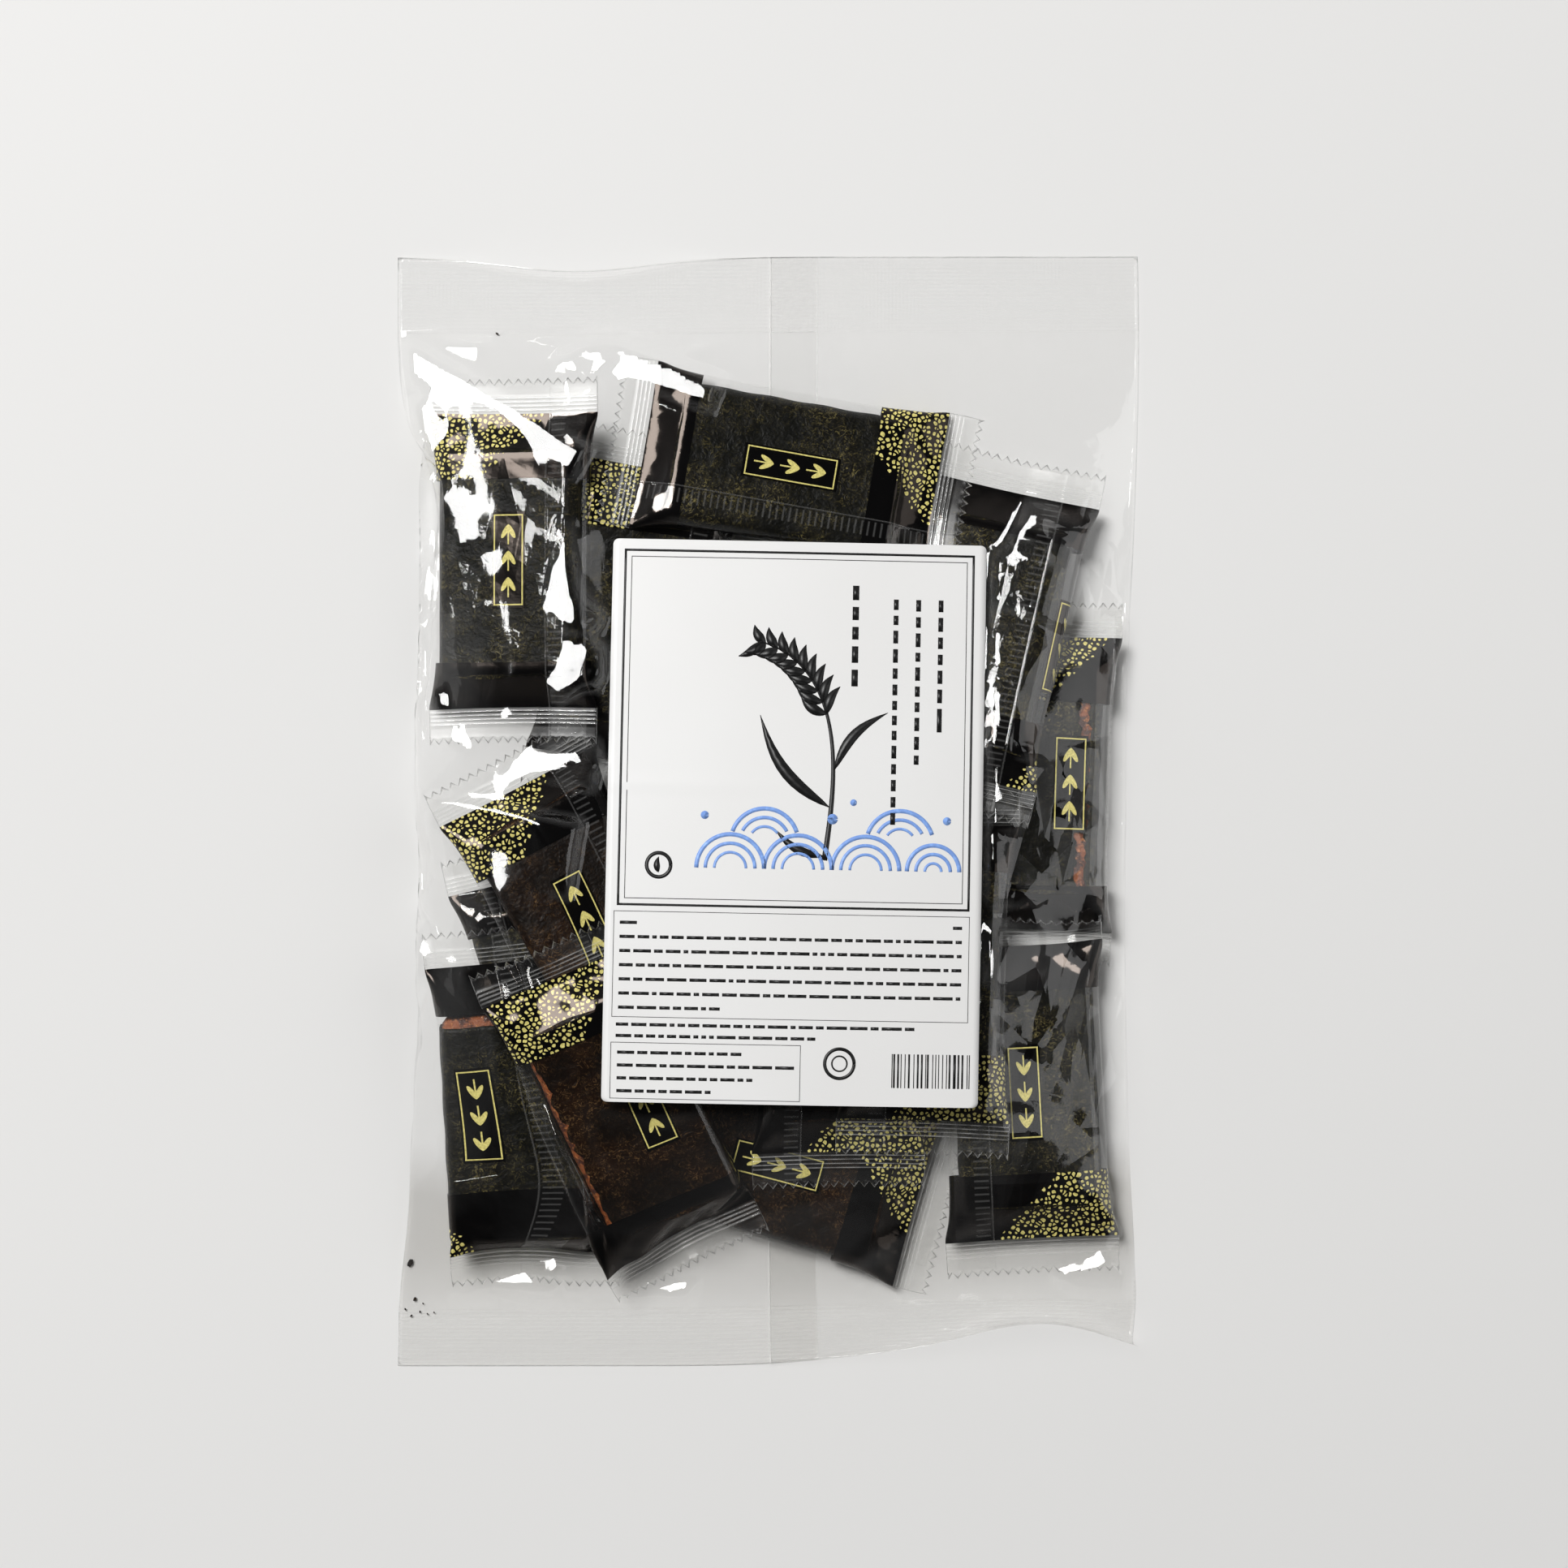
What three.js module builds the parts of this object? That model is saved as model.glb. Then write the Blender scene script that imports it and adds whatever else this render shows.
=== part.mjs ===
// A clear pillow bag of wrapped, seaweed-covered rice crackers, lying on its back with its label up.
// Millimetres, +X across the bag, +Y towards its top seal, +Z up. The origin is in the middle of the
// bag's footprint, on the surface that it lies on.
import * as THREE from 'three';

// The film tube, lying flat and filled.
const BAG_WIDTH = 200;
const BAG_LENGTH = 300;
const WAIST = 4.6;          // how far each long side pulls in, halfway up, because the bag is full
const TOP_SEAL = 20;
const BOTTOM_SEAL = 15;
const FLAT_THICKNESS = 0.6; // where front and back film lie together
const TOP_SEAL_WAVE = 1.6;
const BOTTOM_CURL = 9;      // how high the bottom seal curls up at its right
const CURL_PLACE = 78;      // across the bag, where the curl is highest
const CURL_WIDTH = 34;

// One wrapped cracker, without its flat end seals.
const SACHET_WIDTH = 41;
const SACHET_LENGTH = 70;
const SACHET_THICKNESS = 9;

// The wrapped crackers in the order they lie in, lowest first: centre x, centre y, turn in degrees.
const SACHETS = [
  [-35, 52.5, -10], [-53, -55, 195], [13, 28, 4], [-67, -79.5, 183], [2, -95, -106],
  [71, 7.5, -2], [69, -75.5, 183], [18.5, -52, 181], [43, -43, 178], [-68, 67.5, 0],
  [58.5, 48, 167], [6, 92, -100], [-47.5, -27.5, 30], [-38, -79, 25],
];

// The paper label on the front film.
const LABEL_WIDTH = 100;
const LABEL_LENGTH = 150;
const LABEL_X = 7.3;
const LABEL_Y = -2.7;
const LABEL_TURN = -1.1;
const LABEL_THICKNESS = 0.4;
const LABEL_GAP = 0.35;
const LABEL_DROP_SIDE = 1.6; // how far the label bends down at its long sides
const LABEL_DROP_END = 2.2;  // and at its ends
const LABEL_MARGIN = 7;      // film held flat around the label

// How the heap comes to rest: each piece sinks under its weight and is pushed back where it overlaps.
const FIELD_STEP = 3;
const HEAP_PASSES = 700;
const FIRST_RISE = 1.6;      // height between one piece and the next before they sink
const STIFFNESS = 0.135;     // push of one cell of overlap, against a weight of 1
const FLOOR_STIFFNESS = 4 * STIFFNESS;
const SINK_RATE = 0.02;
const DAMPING = 0.9;
const FASTEST_SINK = 0.5;
const FASTEST_TILT = 0.01;
const SACHET_REACH = 600;    // how hard a piece is to tilt, against how hard it is to sink
const LABEL_REACH = 2500;

// The film slopes up from the heap's edge and holds down what stands out of it.
const HOLD_EDGE = [88, 112]; // across and along the bag, from its middle
const HOLD_HEIGHT = 10.2;    // of the film at that edge
const HOLD_SLOPE = [0.4, 0.46];
const HOLD_STIFFNESS = 0.5 * STIFFNESS;

// Shapes of the curves.
const SACHET_SIDE_POWER = 5; // the higher, the flatter a sachet's middle and the sharper its edge
const SACHET_END_POWER = 6;
const WAIST_POWER = 2.5;
const CURL_POWER = 1.5;
const TOP_LIFT_LENGTH = 1.5 * TOP_SEAL; // how far down the bag the lift of its seals reaches
const BOTTOM_LIFT_LENGTH = 1.8 * BOTTOM_SEAL;

// Grids of the faceted surfaces.
const BAG_COLUMNS = 34;
const BAG_ROWS = 50;
const COLUMN_SPREAD = 0.8;   // of a quarter turn: the columns are closer together at the bag's sides
const LABEL_COLUMNS = 14;
const LABEL_ROWS = 20;
const RELAX_PASSES = 400;

const radians = THREE.MathUtils.degToRad;
const clamp = THREE.MathUtils.clamp;

function toLocal(x, y, place) {
  const c = Math.cos(radians(place.turn));
  const s = Math.sin(radians(place.turn));
  const dx = x - place.x;
  const dy = y - place.y;
  return [dx * c + dy * s, dy * c - dx * s];
}

function toBag(u, v, place) {
  const c = Math.cos(radians(place.turn));
  const s = Math.sin(radians(place.turn));
  return [place.x + u * c - v * s, place.y + u * s + v * c];
}

// Half the thickness of a filled sachet at a place on it: flat in the middle, round at its edges.
function sachetHalf(u, v) {
  const across = 1 - Math.abs((2 * u) / SACHET_WIDTH) ** SACHET_SIDE_POWER;
  const along = 1 - Math.abs((2 * v) / SACHET_LENGTH) ** SACHET_END_POWER;
  return (SACHET_THICKNESS / 2) * Math.sqrt(Math.max(0, across) * Math.max(0, along));
}

function labelDrop(u, v) {
  return LABEL_DROP_SIDE * ((2 * u) / LABEL_WIDTH) ** 2 + LABEL_DROP_END * ((2 * v) / LABEL_LENGTH) ** 2;
}

// A stiff piece of the heap: the cells of the footprint that it covers, with its half thickness there.
function makePiece(field, [x, y, turn], halfWide, halfLong, reach, shape) {
  const place = { x, y, turn };
  const cells = new Map();
  for (let index = 0; index < field.columns * field.rows; index += 1) {
    const [px, py] = field.at(index);
    const [u, v] = toLocal(px, py, place);
    if (Math.abs(u) < halfWide && Math.abs(v) < halfLong) {
      cells.set(index, { dx: px - x, dy: py - y, holding: holdingHeight(px, py), ...shape(u, v) });
    }
  }
  return { place, cells, reach, height: 0, slopeX: 0, slopeY: 0, speed: [0, 0, 0] };
}

function middleAt(piece, dx, dy) {
  return piece.height + piece.slopeX * dx + piece.slopeY * dy;
}

function push(force, cell, amount) {
  force[0] += amount;
  force[1] += amount * cell.dx;
  force[2] += amount * cell.dy;
}

// How high the film that holds the heap together lies.
function holdingHeight(x, y) {
  const across = HOLD_SLOPE[0] * (HOLD_EDGE[0] - Math.abs(x));
  const along = HOLD_SLOPE[1] * (HOLD_EDGE[1] - Math.abs(y));
  return HOLD_HEIGHT + Math.min(across, along);
}

// Lets the pieces sink onto the floor and each other until the heap is at rest. The last one is the
// label, which lies on the film and isn't held down by it.
function restHeap(pieces) {
  const heldDown = pieces.slice(0, -1);
  const pairs = [];
  pieces.forEach((upper, i) => {
    upper.height = SACHET_THICKNESS / 2 + i * FIRST_RISE;
    pieces.slice(0, i).forEach((lower, j) => {
      const shared = [...upper.cells.keys()].filter((index) => lower.cells.has(index));
      shared.forEach((index) => pairs.push([i, j, upper.cells.get(index), lower.cells.get(index)]));
    });
  });
  for (let pass = 0; pass < HEAP_PASSES; pass += 1) {
    const forces = pieces.map(() => [-1, 0, 0]);
    pieces.forEach((piece, i) => {
      for (const cell of piece.cells.values()) {
        const under = cell.under - middleAt(piece, cell.dx, cell.dy);
        push(forces[i], cell, FLOOR_STIFFNESS * Math.max(0, under));
      }
    });
    heldDown.forEach((piece, i) => {
      for (const cell of piece.cells.values()) {
        const proud = middleAt(piece, cell.dx, cell.dy) + cell.over - cell.holding;
        push(forces[i], cell, -HOLD_STIFFNESS * Math.max(0, proud));
      }
    });
    for (const [i, j, high, low] of pairs) {
      const overlap = middleAt(pieces[j], low.dx, low.dy) + low.over
        - (middleAt(pieces[i], high.dx, high.dy) - high.under);
      if (overlap > 0) {
        push(forces[i], high, STIFFNESS * overlap);
        push(forces[j], low, -STIFFNESS * overlap);
      }
    }
    pieces.forEach((piece, i) => {
      const rates = [SINK_RATE, SINK_RATE / piece.reach, SINK_RATE / piece.reach];
      const limits = [FASTEST_SINK, FASTEST_TILT, FASTEST_TILT];
      piece.speed = piece.speed.map((speed, k) => DAMPING * speed + forces[i][k] * rates[k]);
      const [sink, tiltX, tiltY] = piece.speed.map((speed, k) => clamp(speed, -limits[k], limits[k]));
      piece.height += sink;
      piece.slopeX += tiltX;
      piece.slopeY += tiltY;
    });
  }
}

// The heap of crackers with the label lying on it, and the heights that it gives.
function layContents() {
  const columns = Math.round(BAG_WIDTH / FIELD_STEP) + 1;
  const rows = Math.round(BAG_LENGTH / FIELD_STEP) + 1;
  const field = {
    columns,
    rows,
    at: (index) => [
      (index % columns) * FIELD_STEP - BAG_WIDTH / 2,
      Math.floor(index / columns) * FIELD_STEP - BAG_LENGTH / 2,
    ],
  };
  const sachets = SACHETS.map((place) => makePiece(
    field,
    place,
    SACHET_WIDTH / 2,
    SACHET_LENGTH / 2,
    SACHET_REACH,
    (u, v) => ({ over: sachetHalf(u, v), under: sachetHalf(u, v) }),
  ));
  const sheet = makePiece(
    field,
    [LABEL_X, LABEL_Y, LABEL_TURN],
    LABEL_WIDTH / 2 + LABEL_MARGIN,
    LABEL_LENGTH / 2 + LABEL_MARGIN,
    LABEL_REACH,
    (u, v) => ({ over: -labelDrop(u, v), under: labelDrop(u, v) }),
  );
  restHeap([...sachets, sheet]);

  const heights = new Float64Array(columns * rows);
  for (const piece of sachets) {
    for (const [index, cell] of piece.cells) {
      heights[index] = Math.max(heights[index], middleAt(piece, cell.dx, cell.dy) + cell.over);
    }
  }
  const labelHeight = (x, y) => {
    const [u, v] = toLocal(x, y, sheet.place);
    return middleAt(sheet, x - sheet.place.x, y - sheet.place.y) - labelDrop(u, v);
  };
  const contentsHeight = (x, y) => {
    const fi = clamp((x + BAG_WIDTH / 2) / FIELD_STEP, 0, columns - 1.001);
    const fj = clamp((y + BAG_LENGTH / 2) / FIELD_STEP, 0, rows - 1.001);
    const i = Math.floor(fi);
    const j = Math.floor(fj);
    const corner = (a, b) => heights[(j + b) * columns + i + a];
    const low = THREE.MathUtils.lerp(corner(0, 0), corner(1, 0), fi - i);
    const high = THREE.MathUtils.lerp(corner(0, 1), corner(1, 1), fi - i);
    return THREE.MathUtils.lerp(low, high, fj - j);
  };
  return { label: sheet.place, labelHeight, contentsHeight };
}

function halfWidth(y) {
  const along = Math.abs((2 * y) / BAG_LENGTH);
  return BAG_WIDTH / 2 - WAIST * (1 - along ** WAIST_POWER);
}

// How high the underside stands: flat under the crackers, waved at the top seal, curled at the bottom.
function lift(x, y) {
  const top = clamp(1 - (BAG_LENGTH / 2 - y) / TOP_LIFT_LENGTH, 0, 1);
  const bottom = clamp(1 - (BAG_LENGTH / 2 + y) / BOTTOM_LIFT_LENGTH, 0, 1);
  const wave = TOP_SEAL_WAVE * (1 + Math.cos((4 * Math.PI * x) / BAG_WIDTH));
  const curl = BOTTOM_CURL * Math.exp(-(((x - CURL_PLACE) / CURL_WIDTH) ** 2));
  return wave * top ** 2 + curl * bottom ** CURL_POWER;
}

// The bag's points, row by row, each with its place, its underside and the taut film above it.
function drapeFilm({ label, labelHeight, contentsHeight }) {
  const nodes = [];
  for (let j = 0; j <= BAG_ROWS; j += 1) {
    for (let i = 0; i <= BAG_COLUMNS; i += 1) {
      const y = BAG_LENGTH * (j / BAG_ROWS - 0.5);
      const spread = COLUMN_SPREAD * ((2 * i) / BAG_COLUMNS - 1);
      const x = (halfWidth(y) * Math.sin((Math.PI / 2) * spread))
        / Math.sin((Math.PI / 2) * COLUMN_SPREAD);
      const [u, v] = toLocal(x, y, label);
      const underLabel = Math.abs(u) < LABEL_WIDTH / 2 + LABEL_MARGIN
        && Math.abs(v) < LABEL_LENGTH / 2 + LABEL_MARGIN;
      const inSeal = y > BAG_LENGTH / 2 - TOP_SEAL || y < BOTTOM_SEAL - BAG_LENGTH / 2;
      const edge = i === 0 || i === BAG_COLUMNS || inSeal;
      const under = lift(x, y);
      const floor = under + FLAT_THICKNESS;
      const least = edge ? floor : Math.max(floor, contentsHeight(x, y) + FLAT_THICKNESS);
      nodes.push({ x, y, under, least, edge, held: underLabel ? labelHeight(x, y) : null, top: least });
    }
  }
  const row = BAG_COLUMNS + 1;
  for (let pass = 0; pass < RELAX_PASSES; pass += 1) {
    nodes.forEach((node, n) => {
      if (node.edge) {
        return;
      }
      if (node.held !== null) {
        node.top = node.held;
        return;
      }
      const west = nodes[n - 1];
      const east = nodes[n + 1];
      const south = nodes[n - row];
      const north = nodes[n + row];
      const wide = 1 / (east.x - west.x) ** 2;
      const long = 1 / (north.y - south.y) ** 2;
      const level = (wide * (west.top + east.top) + long * (south.top + north.top)) / (2 * (wide + long));
      node.top = Math.max(node.least, level);
    });
  }
  return nodes;
}

// A closed body between an upper and a lower grid of points that share one outline.
function closedSheet(columns, rows, upper, lower) {
  const row = columns + 1;
  const count = row * (rows + 1);
  const index = [];
  for (let j = 0; j < rows; j += 1) {
    for (let i = 0; i < columns; i += 1) {
      const a = j * row + i;
      const b = a + 1;
      const c = a + row;
      const d = c + 1;
      index.push(a, b, d, a, d, c);
      index.push(count + a, count + d, count + b, count + a, count + c, count + d);
    }
  }
  const rim = [];
  for (let i = 0; i < columns; i += 1) rim.push(i);
  for (let j = 0; j < rows; j += 1) rim.push(j * row + columns);
  for (let i = columns; i > 0; i -= 1) rim.push(rows * row + i);
  for (let j = rows; j > 0; j -= 1) rim.push(j * row);
  rim.forEach((p, k) => {
    const q = rim[(k + 1) % rim.length];
    index.push(p, count + p, count + q, p, count + q, q);
  });
  const geometry = new THREE.BufferGeometry();
  geometry.setAttribute('position', new THREE.Float32BufferAttribute([...upper, ...lower].flat(), 3));
  geometry.setIndex(index);
  geometry.computeVertexNormals();
  return geometry;
}

function bagGeometry(contents) {
  const nodes = drapeFilm(contents);
  const upper = nodes.map((n) => [n.x, n.y, n.top]);
  const lower = nodes.map((n) => [n.x, n.y, n.under]);
  return closedSheet(BAG_COLUMNS, BAG_ROWS, upper, lower);
}

function labelGeometry({ label, labelHeight }) {
  const upper = [];
  const lower = [];
  for (let j = 0; j <= LABEL_ROWS; j += 1) {
    for (let i = 0; i <= LABEL_COLUMNS; i += 1) {
      const u = LABEL_WIDTH * (i / LABEL_COLUMNS - 0.5);
      const v = LABEL_LENGTH * (j / LABEL_ROWS - 0.5);
      const [x, y] = toBag(u, v, label);
      const z = labelHeight(x, y) + LABEL_GAP;
      upper.push([x, y, z + LABEL_THICKNESS]);
      lower.push([x, y, z]);
    }
  }
  return closedSheet(LABEL_COLUMNS, LABEL_ROWS, upper, lower);
}

const contents = layContents();

const bag = new THREE.Mesh(
  bagGeometry(contents),
  new THREE.MeshStandardMaterial({ color: 0xd8d8d6, roughness: 0.12, metalness: 0 }),
);
bag.name = 'bag';

const frontLabel = new THREE.Mesh(
  labelGeometry(contents),
  new THREE.MeshStandardMaterial({ color: 0xf2f1ef, roughness: 0.45, metalness: 0 }),
);
frontLabel.name = 'front_label';

const crackerBag = new THREE.Group();
crackerBag.add(bag, frontLabel);

export default crackerBag;
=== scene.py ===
import functools
import math
from collections import namedtuple

import bpy
import numpy as np
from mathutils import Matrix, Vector


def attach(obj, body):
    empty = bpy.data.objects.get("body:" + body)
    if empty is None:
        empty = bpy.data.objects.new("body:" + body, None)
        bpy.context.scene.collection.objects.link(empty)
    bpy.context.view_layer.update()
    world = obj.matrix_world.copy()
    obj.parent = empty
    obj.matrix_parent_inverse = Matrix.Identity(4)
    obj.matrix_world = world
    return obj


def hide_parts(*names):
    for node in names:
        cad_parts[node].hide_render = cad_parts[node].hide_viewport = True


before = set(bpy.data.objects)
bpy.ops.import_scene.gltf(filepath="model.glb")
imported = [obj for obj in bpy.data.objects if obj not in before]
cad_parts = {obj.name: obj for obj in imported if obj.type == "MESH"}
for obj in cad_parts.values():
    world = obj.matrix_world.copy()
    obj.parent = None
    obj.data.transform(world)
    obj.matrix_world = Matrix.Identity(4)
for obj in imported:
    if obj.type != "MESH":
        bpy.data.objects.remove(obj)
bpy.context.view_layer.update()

bl_info = {
    "name": "Bag of Wrapped Rice Crackers",
    "version": (1, 0, 0),
    "blender": (4, 5, 0),
    "location": "View3D > Sidebar > Rice Crackers",
    "description": "Makes a clear bag of film-wrapped, seaweed-covered rice crackers with a paper label",
    "category": "Add Mesh",
}

# Lengths are worked out in millimetres and become metres where a mesh gets its points.
MM = 0.001

# One wrapped cracker: the middle of its wrap and its turn in degrees, where the middle of the print and
# of the cracker lie on it, where the fin seal starts on the print and which way it is laid, the stretch
# round the cracker that the seaweed leaves bare, how much of its lower end is bare, whether its
# seaweed is a thin, brown sheet, which way round the print goes, and how far its gold corner is moved.
Sachet = namedtuple(
    "Sachet", "x y turn print_at food_at fin_at fin_way bare bare_end thin print_way corner",
    defaults=(0.9, False, 1, 0.0))
HIDDEN = (44.0, 47.0)

# Lowest first. The third one lies wholly under the label.
SACHETS = (
    Sachet(-35, 52.5, -10, 0, (-1.0, 1.0), 10, 1, HIDDEN),
    Sachet(-53, -55, 195, 0, (1.0, -1.5), 10, 1, HIDDEN),
    Sachet(13, 28, 4, 0, (0.5, 0.5), 10, 1, HIDDEN),
    Sachet(-67, -79.5, 183, 15, (0.8, 5.0), -10.5, -1, (-24.0, -21.0), 3.6, False, -1, 10.0),
    Sachet(2, -95, -106, 0, (0.0, 0.0), 31, 1, HIDDEN, 0.9, True),
    Sachet(71, 7.5, -2, 11, (-0.8, 1.5), 10, 1, (13.2, 15.8)),
    Sachet(69, -75.5, 183, 0, (-0.6, 0.5), 10, 1, HIDDEN, 2.2),
    Sachet(18.5, -52, 181, 0, (0.6, 1.0), 10, 1, HIDDEN, 0.9, True),
    Sachet(43, -43, 178, 0, (0.5, -0.5), 10, 1, (18.5, 21.0)),
    Sachet(-68, 67.5, 0, 0, (-1.2, -1.0), 10, 1, HIDDEN),
    Sachet(58.5, 48, 167, -23.4, (1.5, 0.5), 10, 1, HIDDEN),
    Sachet(6, 92, -100, 0, (0.6, -1.0), 10, 1, HIDDEN),
    Sachet(-47.5, -27.5, 30, 0, (0.0, 0.8), 10, 1, HIDDEN, 0.9, True),
    Sachet(-38, -79, 25, 4.8, (0.4, -1.5), 31, 1, (-21.4, -16.8), 0.9, True),
)

# How the heap comes to rest: each piece sinks under its weight and is pushed back where it overlaps.
FIELD_STEP = 3.0
HEAP_PASSES = 700
FIRST_HEIGHT = 4.5
FIRST_RISE = 1.6
STIFFNESS = 0.135
FLOOR_STIFFNESS = 4 * STIFFNESS
SINK_RATE = 0.02
DAMPING = 0.9
FASTEST_SINK = 0.5
FASTEST_TILT = 0.01
SACHET_REACH = 600.0
LABEL_REACH = 2500.0
LABEL_MARGIN = 7.0
HEAP_LIFT = 0.35
# The bag's film slopes up from the heap's edge and holds down what stands out of it.
HOLD_EDGE = (88.0, 112.0)
HOLD_HEIGHT = 10.2
HOLD_SLOPE = (0.40, 0.46)
HOLD_STIFFNESS = 0.5 * STIFFNESS


class BagSizes(bpy.types.PropertyGroup):
    width: bpy.props.FloatProperty(
        name="Bag Width", description="Width of the film tube, lying flat",
        default=0.200, unit="LENGTH")
    length: bpy.props.FloatProperty(
        name="Bag Length", description="Length of the film tube with both seals",
        default=0.300, unit="LENGTH")
    top_seal: bpy.props.FloatProperty(
        name="Top Seal", description="Depth of the woven seal at the top",
        default=0.020, unit="LENGTH")
    bottom_seal: bpy.props.FloatProperty(
        name="Bottom Seal", description="Depth of the ribbed seal at the bottom",
        default=0.015, unit="LENGTH")
    back_fin: bpy.props.FloatProperty(
        name="Back Fin", description="Width of the lap that closes the tube at the back",
        default=0.0127, unit="LENGTH")
    label_width: bpy.props.FloatProperty(
        name="Label Width", description="Width of the paper label", default=0.100, unit="LENGTH")
    label_length: bpy.props.FloatProperty(
        name="Label Length", description="Length of the paper label", default=0.150, unit="LENGTH")


class WrapSizes(bpy.types.PropertyGroup):
    width: bpy.props.FloatProperty(
        name="Wrap Width", description="Width of one cracker's wrap, lying flat",
        default=0.047, unit="LENGTH")
    print_length: bpy.props.FloatProperty(
        name="Print Length", description="Length of the wrap between its end seals",
        default=0.080, unit="LENGTH")
    end_seal: bpy.props.FloatProperty(
        name="End Seal", description="Depth of each end seal, teeth and all",
        default=0.0095, unit="LENGTH")
    tooth: bpy.props.FloatProperty(
        name="Tooth", description="Depth of the zigzag cut", default=0.0017, unit="LENGTH")
    fin: bpy.props.FloatProperty(
        name="Fin", description="Width of the wrap's long seal", default=0.0105, unit="LENGTH")


class FoodSizes(bpy.types.PropertyGroup):
    width: bpy.props.FloatProperty(
        name="Cracker Width", description="Width of a cracker", default=0.0376, unit="LENGTH")
    length: bpy.props.FloatProperty(
        name="Cracker Length", description="Length of a cracker", default=0.063, unit="LENGTH")
    thickness: bpy.props.FloatProperty(
        name="Cracker Thickness", description="Thickness of a cracker", default=0.0074, unit="LENGTH")
    crust: bpy.props.FloatVectorProperty(
        name="Crust", description="Colour of the soy-glazed crust", subtype="COLOR", size=4,
        default=(0.28, 0.075, 0.018, 1.0))
    seaweed: bpy.props.FloatVectorProperty(
        name="Seaweed", description="Colour of the roasted seaweed", subtype="COLOR", size=4,
        default=(0.0030, 0.0031, 0.0022, 1.0))
    thin_seaweed: bpy.props.FloatVectorProperty(
        name="Thin Seaweed", description="Colour of the sheets that let the crust shine through",
        subtype="COLOR", size=4, default=(0.0045, 0.0024, 0.0014, 1.0))


class PrintColours(bpy.types.PropertyGroup):
    black: bpy.props.FloatVectorProperty(
        name="Black", description="Black ink of wraps and label", subtype="COLOR", size=4,
        default=(0.0018, 0.0018, 0.0020, 1.0))
    gold: bpy.props.FloatVectorProperty(
        name="Gold", description="Gold ink of the wraps", subtype="COLOR", size=4,
        default=(0.82, 0.73, 0.26, 1.0))
    blue: bpy.props.FloatVectorProperty(
        name="Blue", description="Blue ink of the label", subtype="COLOR", size=4,
        default=(0.20, 0.35, 0.76, 1.0))
    paper: bpy.props.FloatVectorProperty(
        name="Paper", description="Colour of the label's paper", subtype="COLOR", size=4,
        default=(0.80, 0.80, 0.795, 1.0))


SETTINGS = (BagSizes, WrapSizes, FoodSizes, PrintColours)


# ---------------------------------------------------------------- the heap

LABEL_PLACE = (7.3, -2.7, -1.1)
LABEL_HALF = (50.0, 75.0)
LABEL_DROP_SIDE, LABEL_DROP_END = 1.6, 2.2
LABEL_OFF = 0.35         # between the heap and the label's underside
SACHET_HALF = (20.5, 35.0)
PLACES = tuple(sachet[:3] for sachet in SACHETS) + (LABEL_PLACE,)


def to_local(x, y, place):
    """Turns places in the bag into places on a piece."""
    c, s = math.cos(math.radians(place[2])), math.sin(math.radians(place[2]))
    dx, dy = x - place[0], y - place[1]
    return dx * c + dy * s, dy * c - dx * s


def to_bag(u, v, place):
    """Turns places on a piece into places in the bag."""
    c, s = math.cos(math.radians(place[2])), math.sin(math.radians(place[2]))
    return place[0] + u * c - v * s, place[1] + u * s + v * c


def sachet_half(u, v, width=41.0, length=70.0, thickness=9.0):
    """Half the thickness of a filled sachet at a place on it."""
    across = np.clip(1 - np.abs(2 * u / width) ** 5, 0, None)
    along = np.clip(1 - np.abs(2 * v / length) ** 6, 0, None)
    return thickness / 2 * np.sqrt(across * along)


def label_drop(u, v):
    """How far the label bends down at a place on it."""
    return LABEL_DROP_SIDE * (u / LABEL_HALF[0]) ** 2 + LABEL_DROP_END * (v / LABEL_HALF[1]) ** 2


def on_label(x, y, margin):
    """Whether places in the bag lie on the label, or no further off it than the margin."""
    u, v = to_local(x, y, LABEL_PLACE)
    return (np.abs(u) < LABEL_HALF[0] + margin) & (np.abs(v) < LABEL_HALF[1] + margin)


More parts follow.
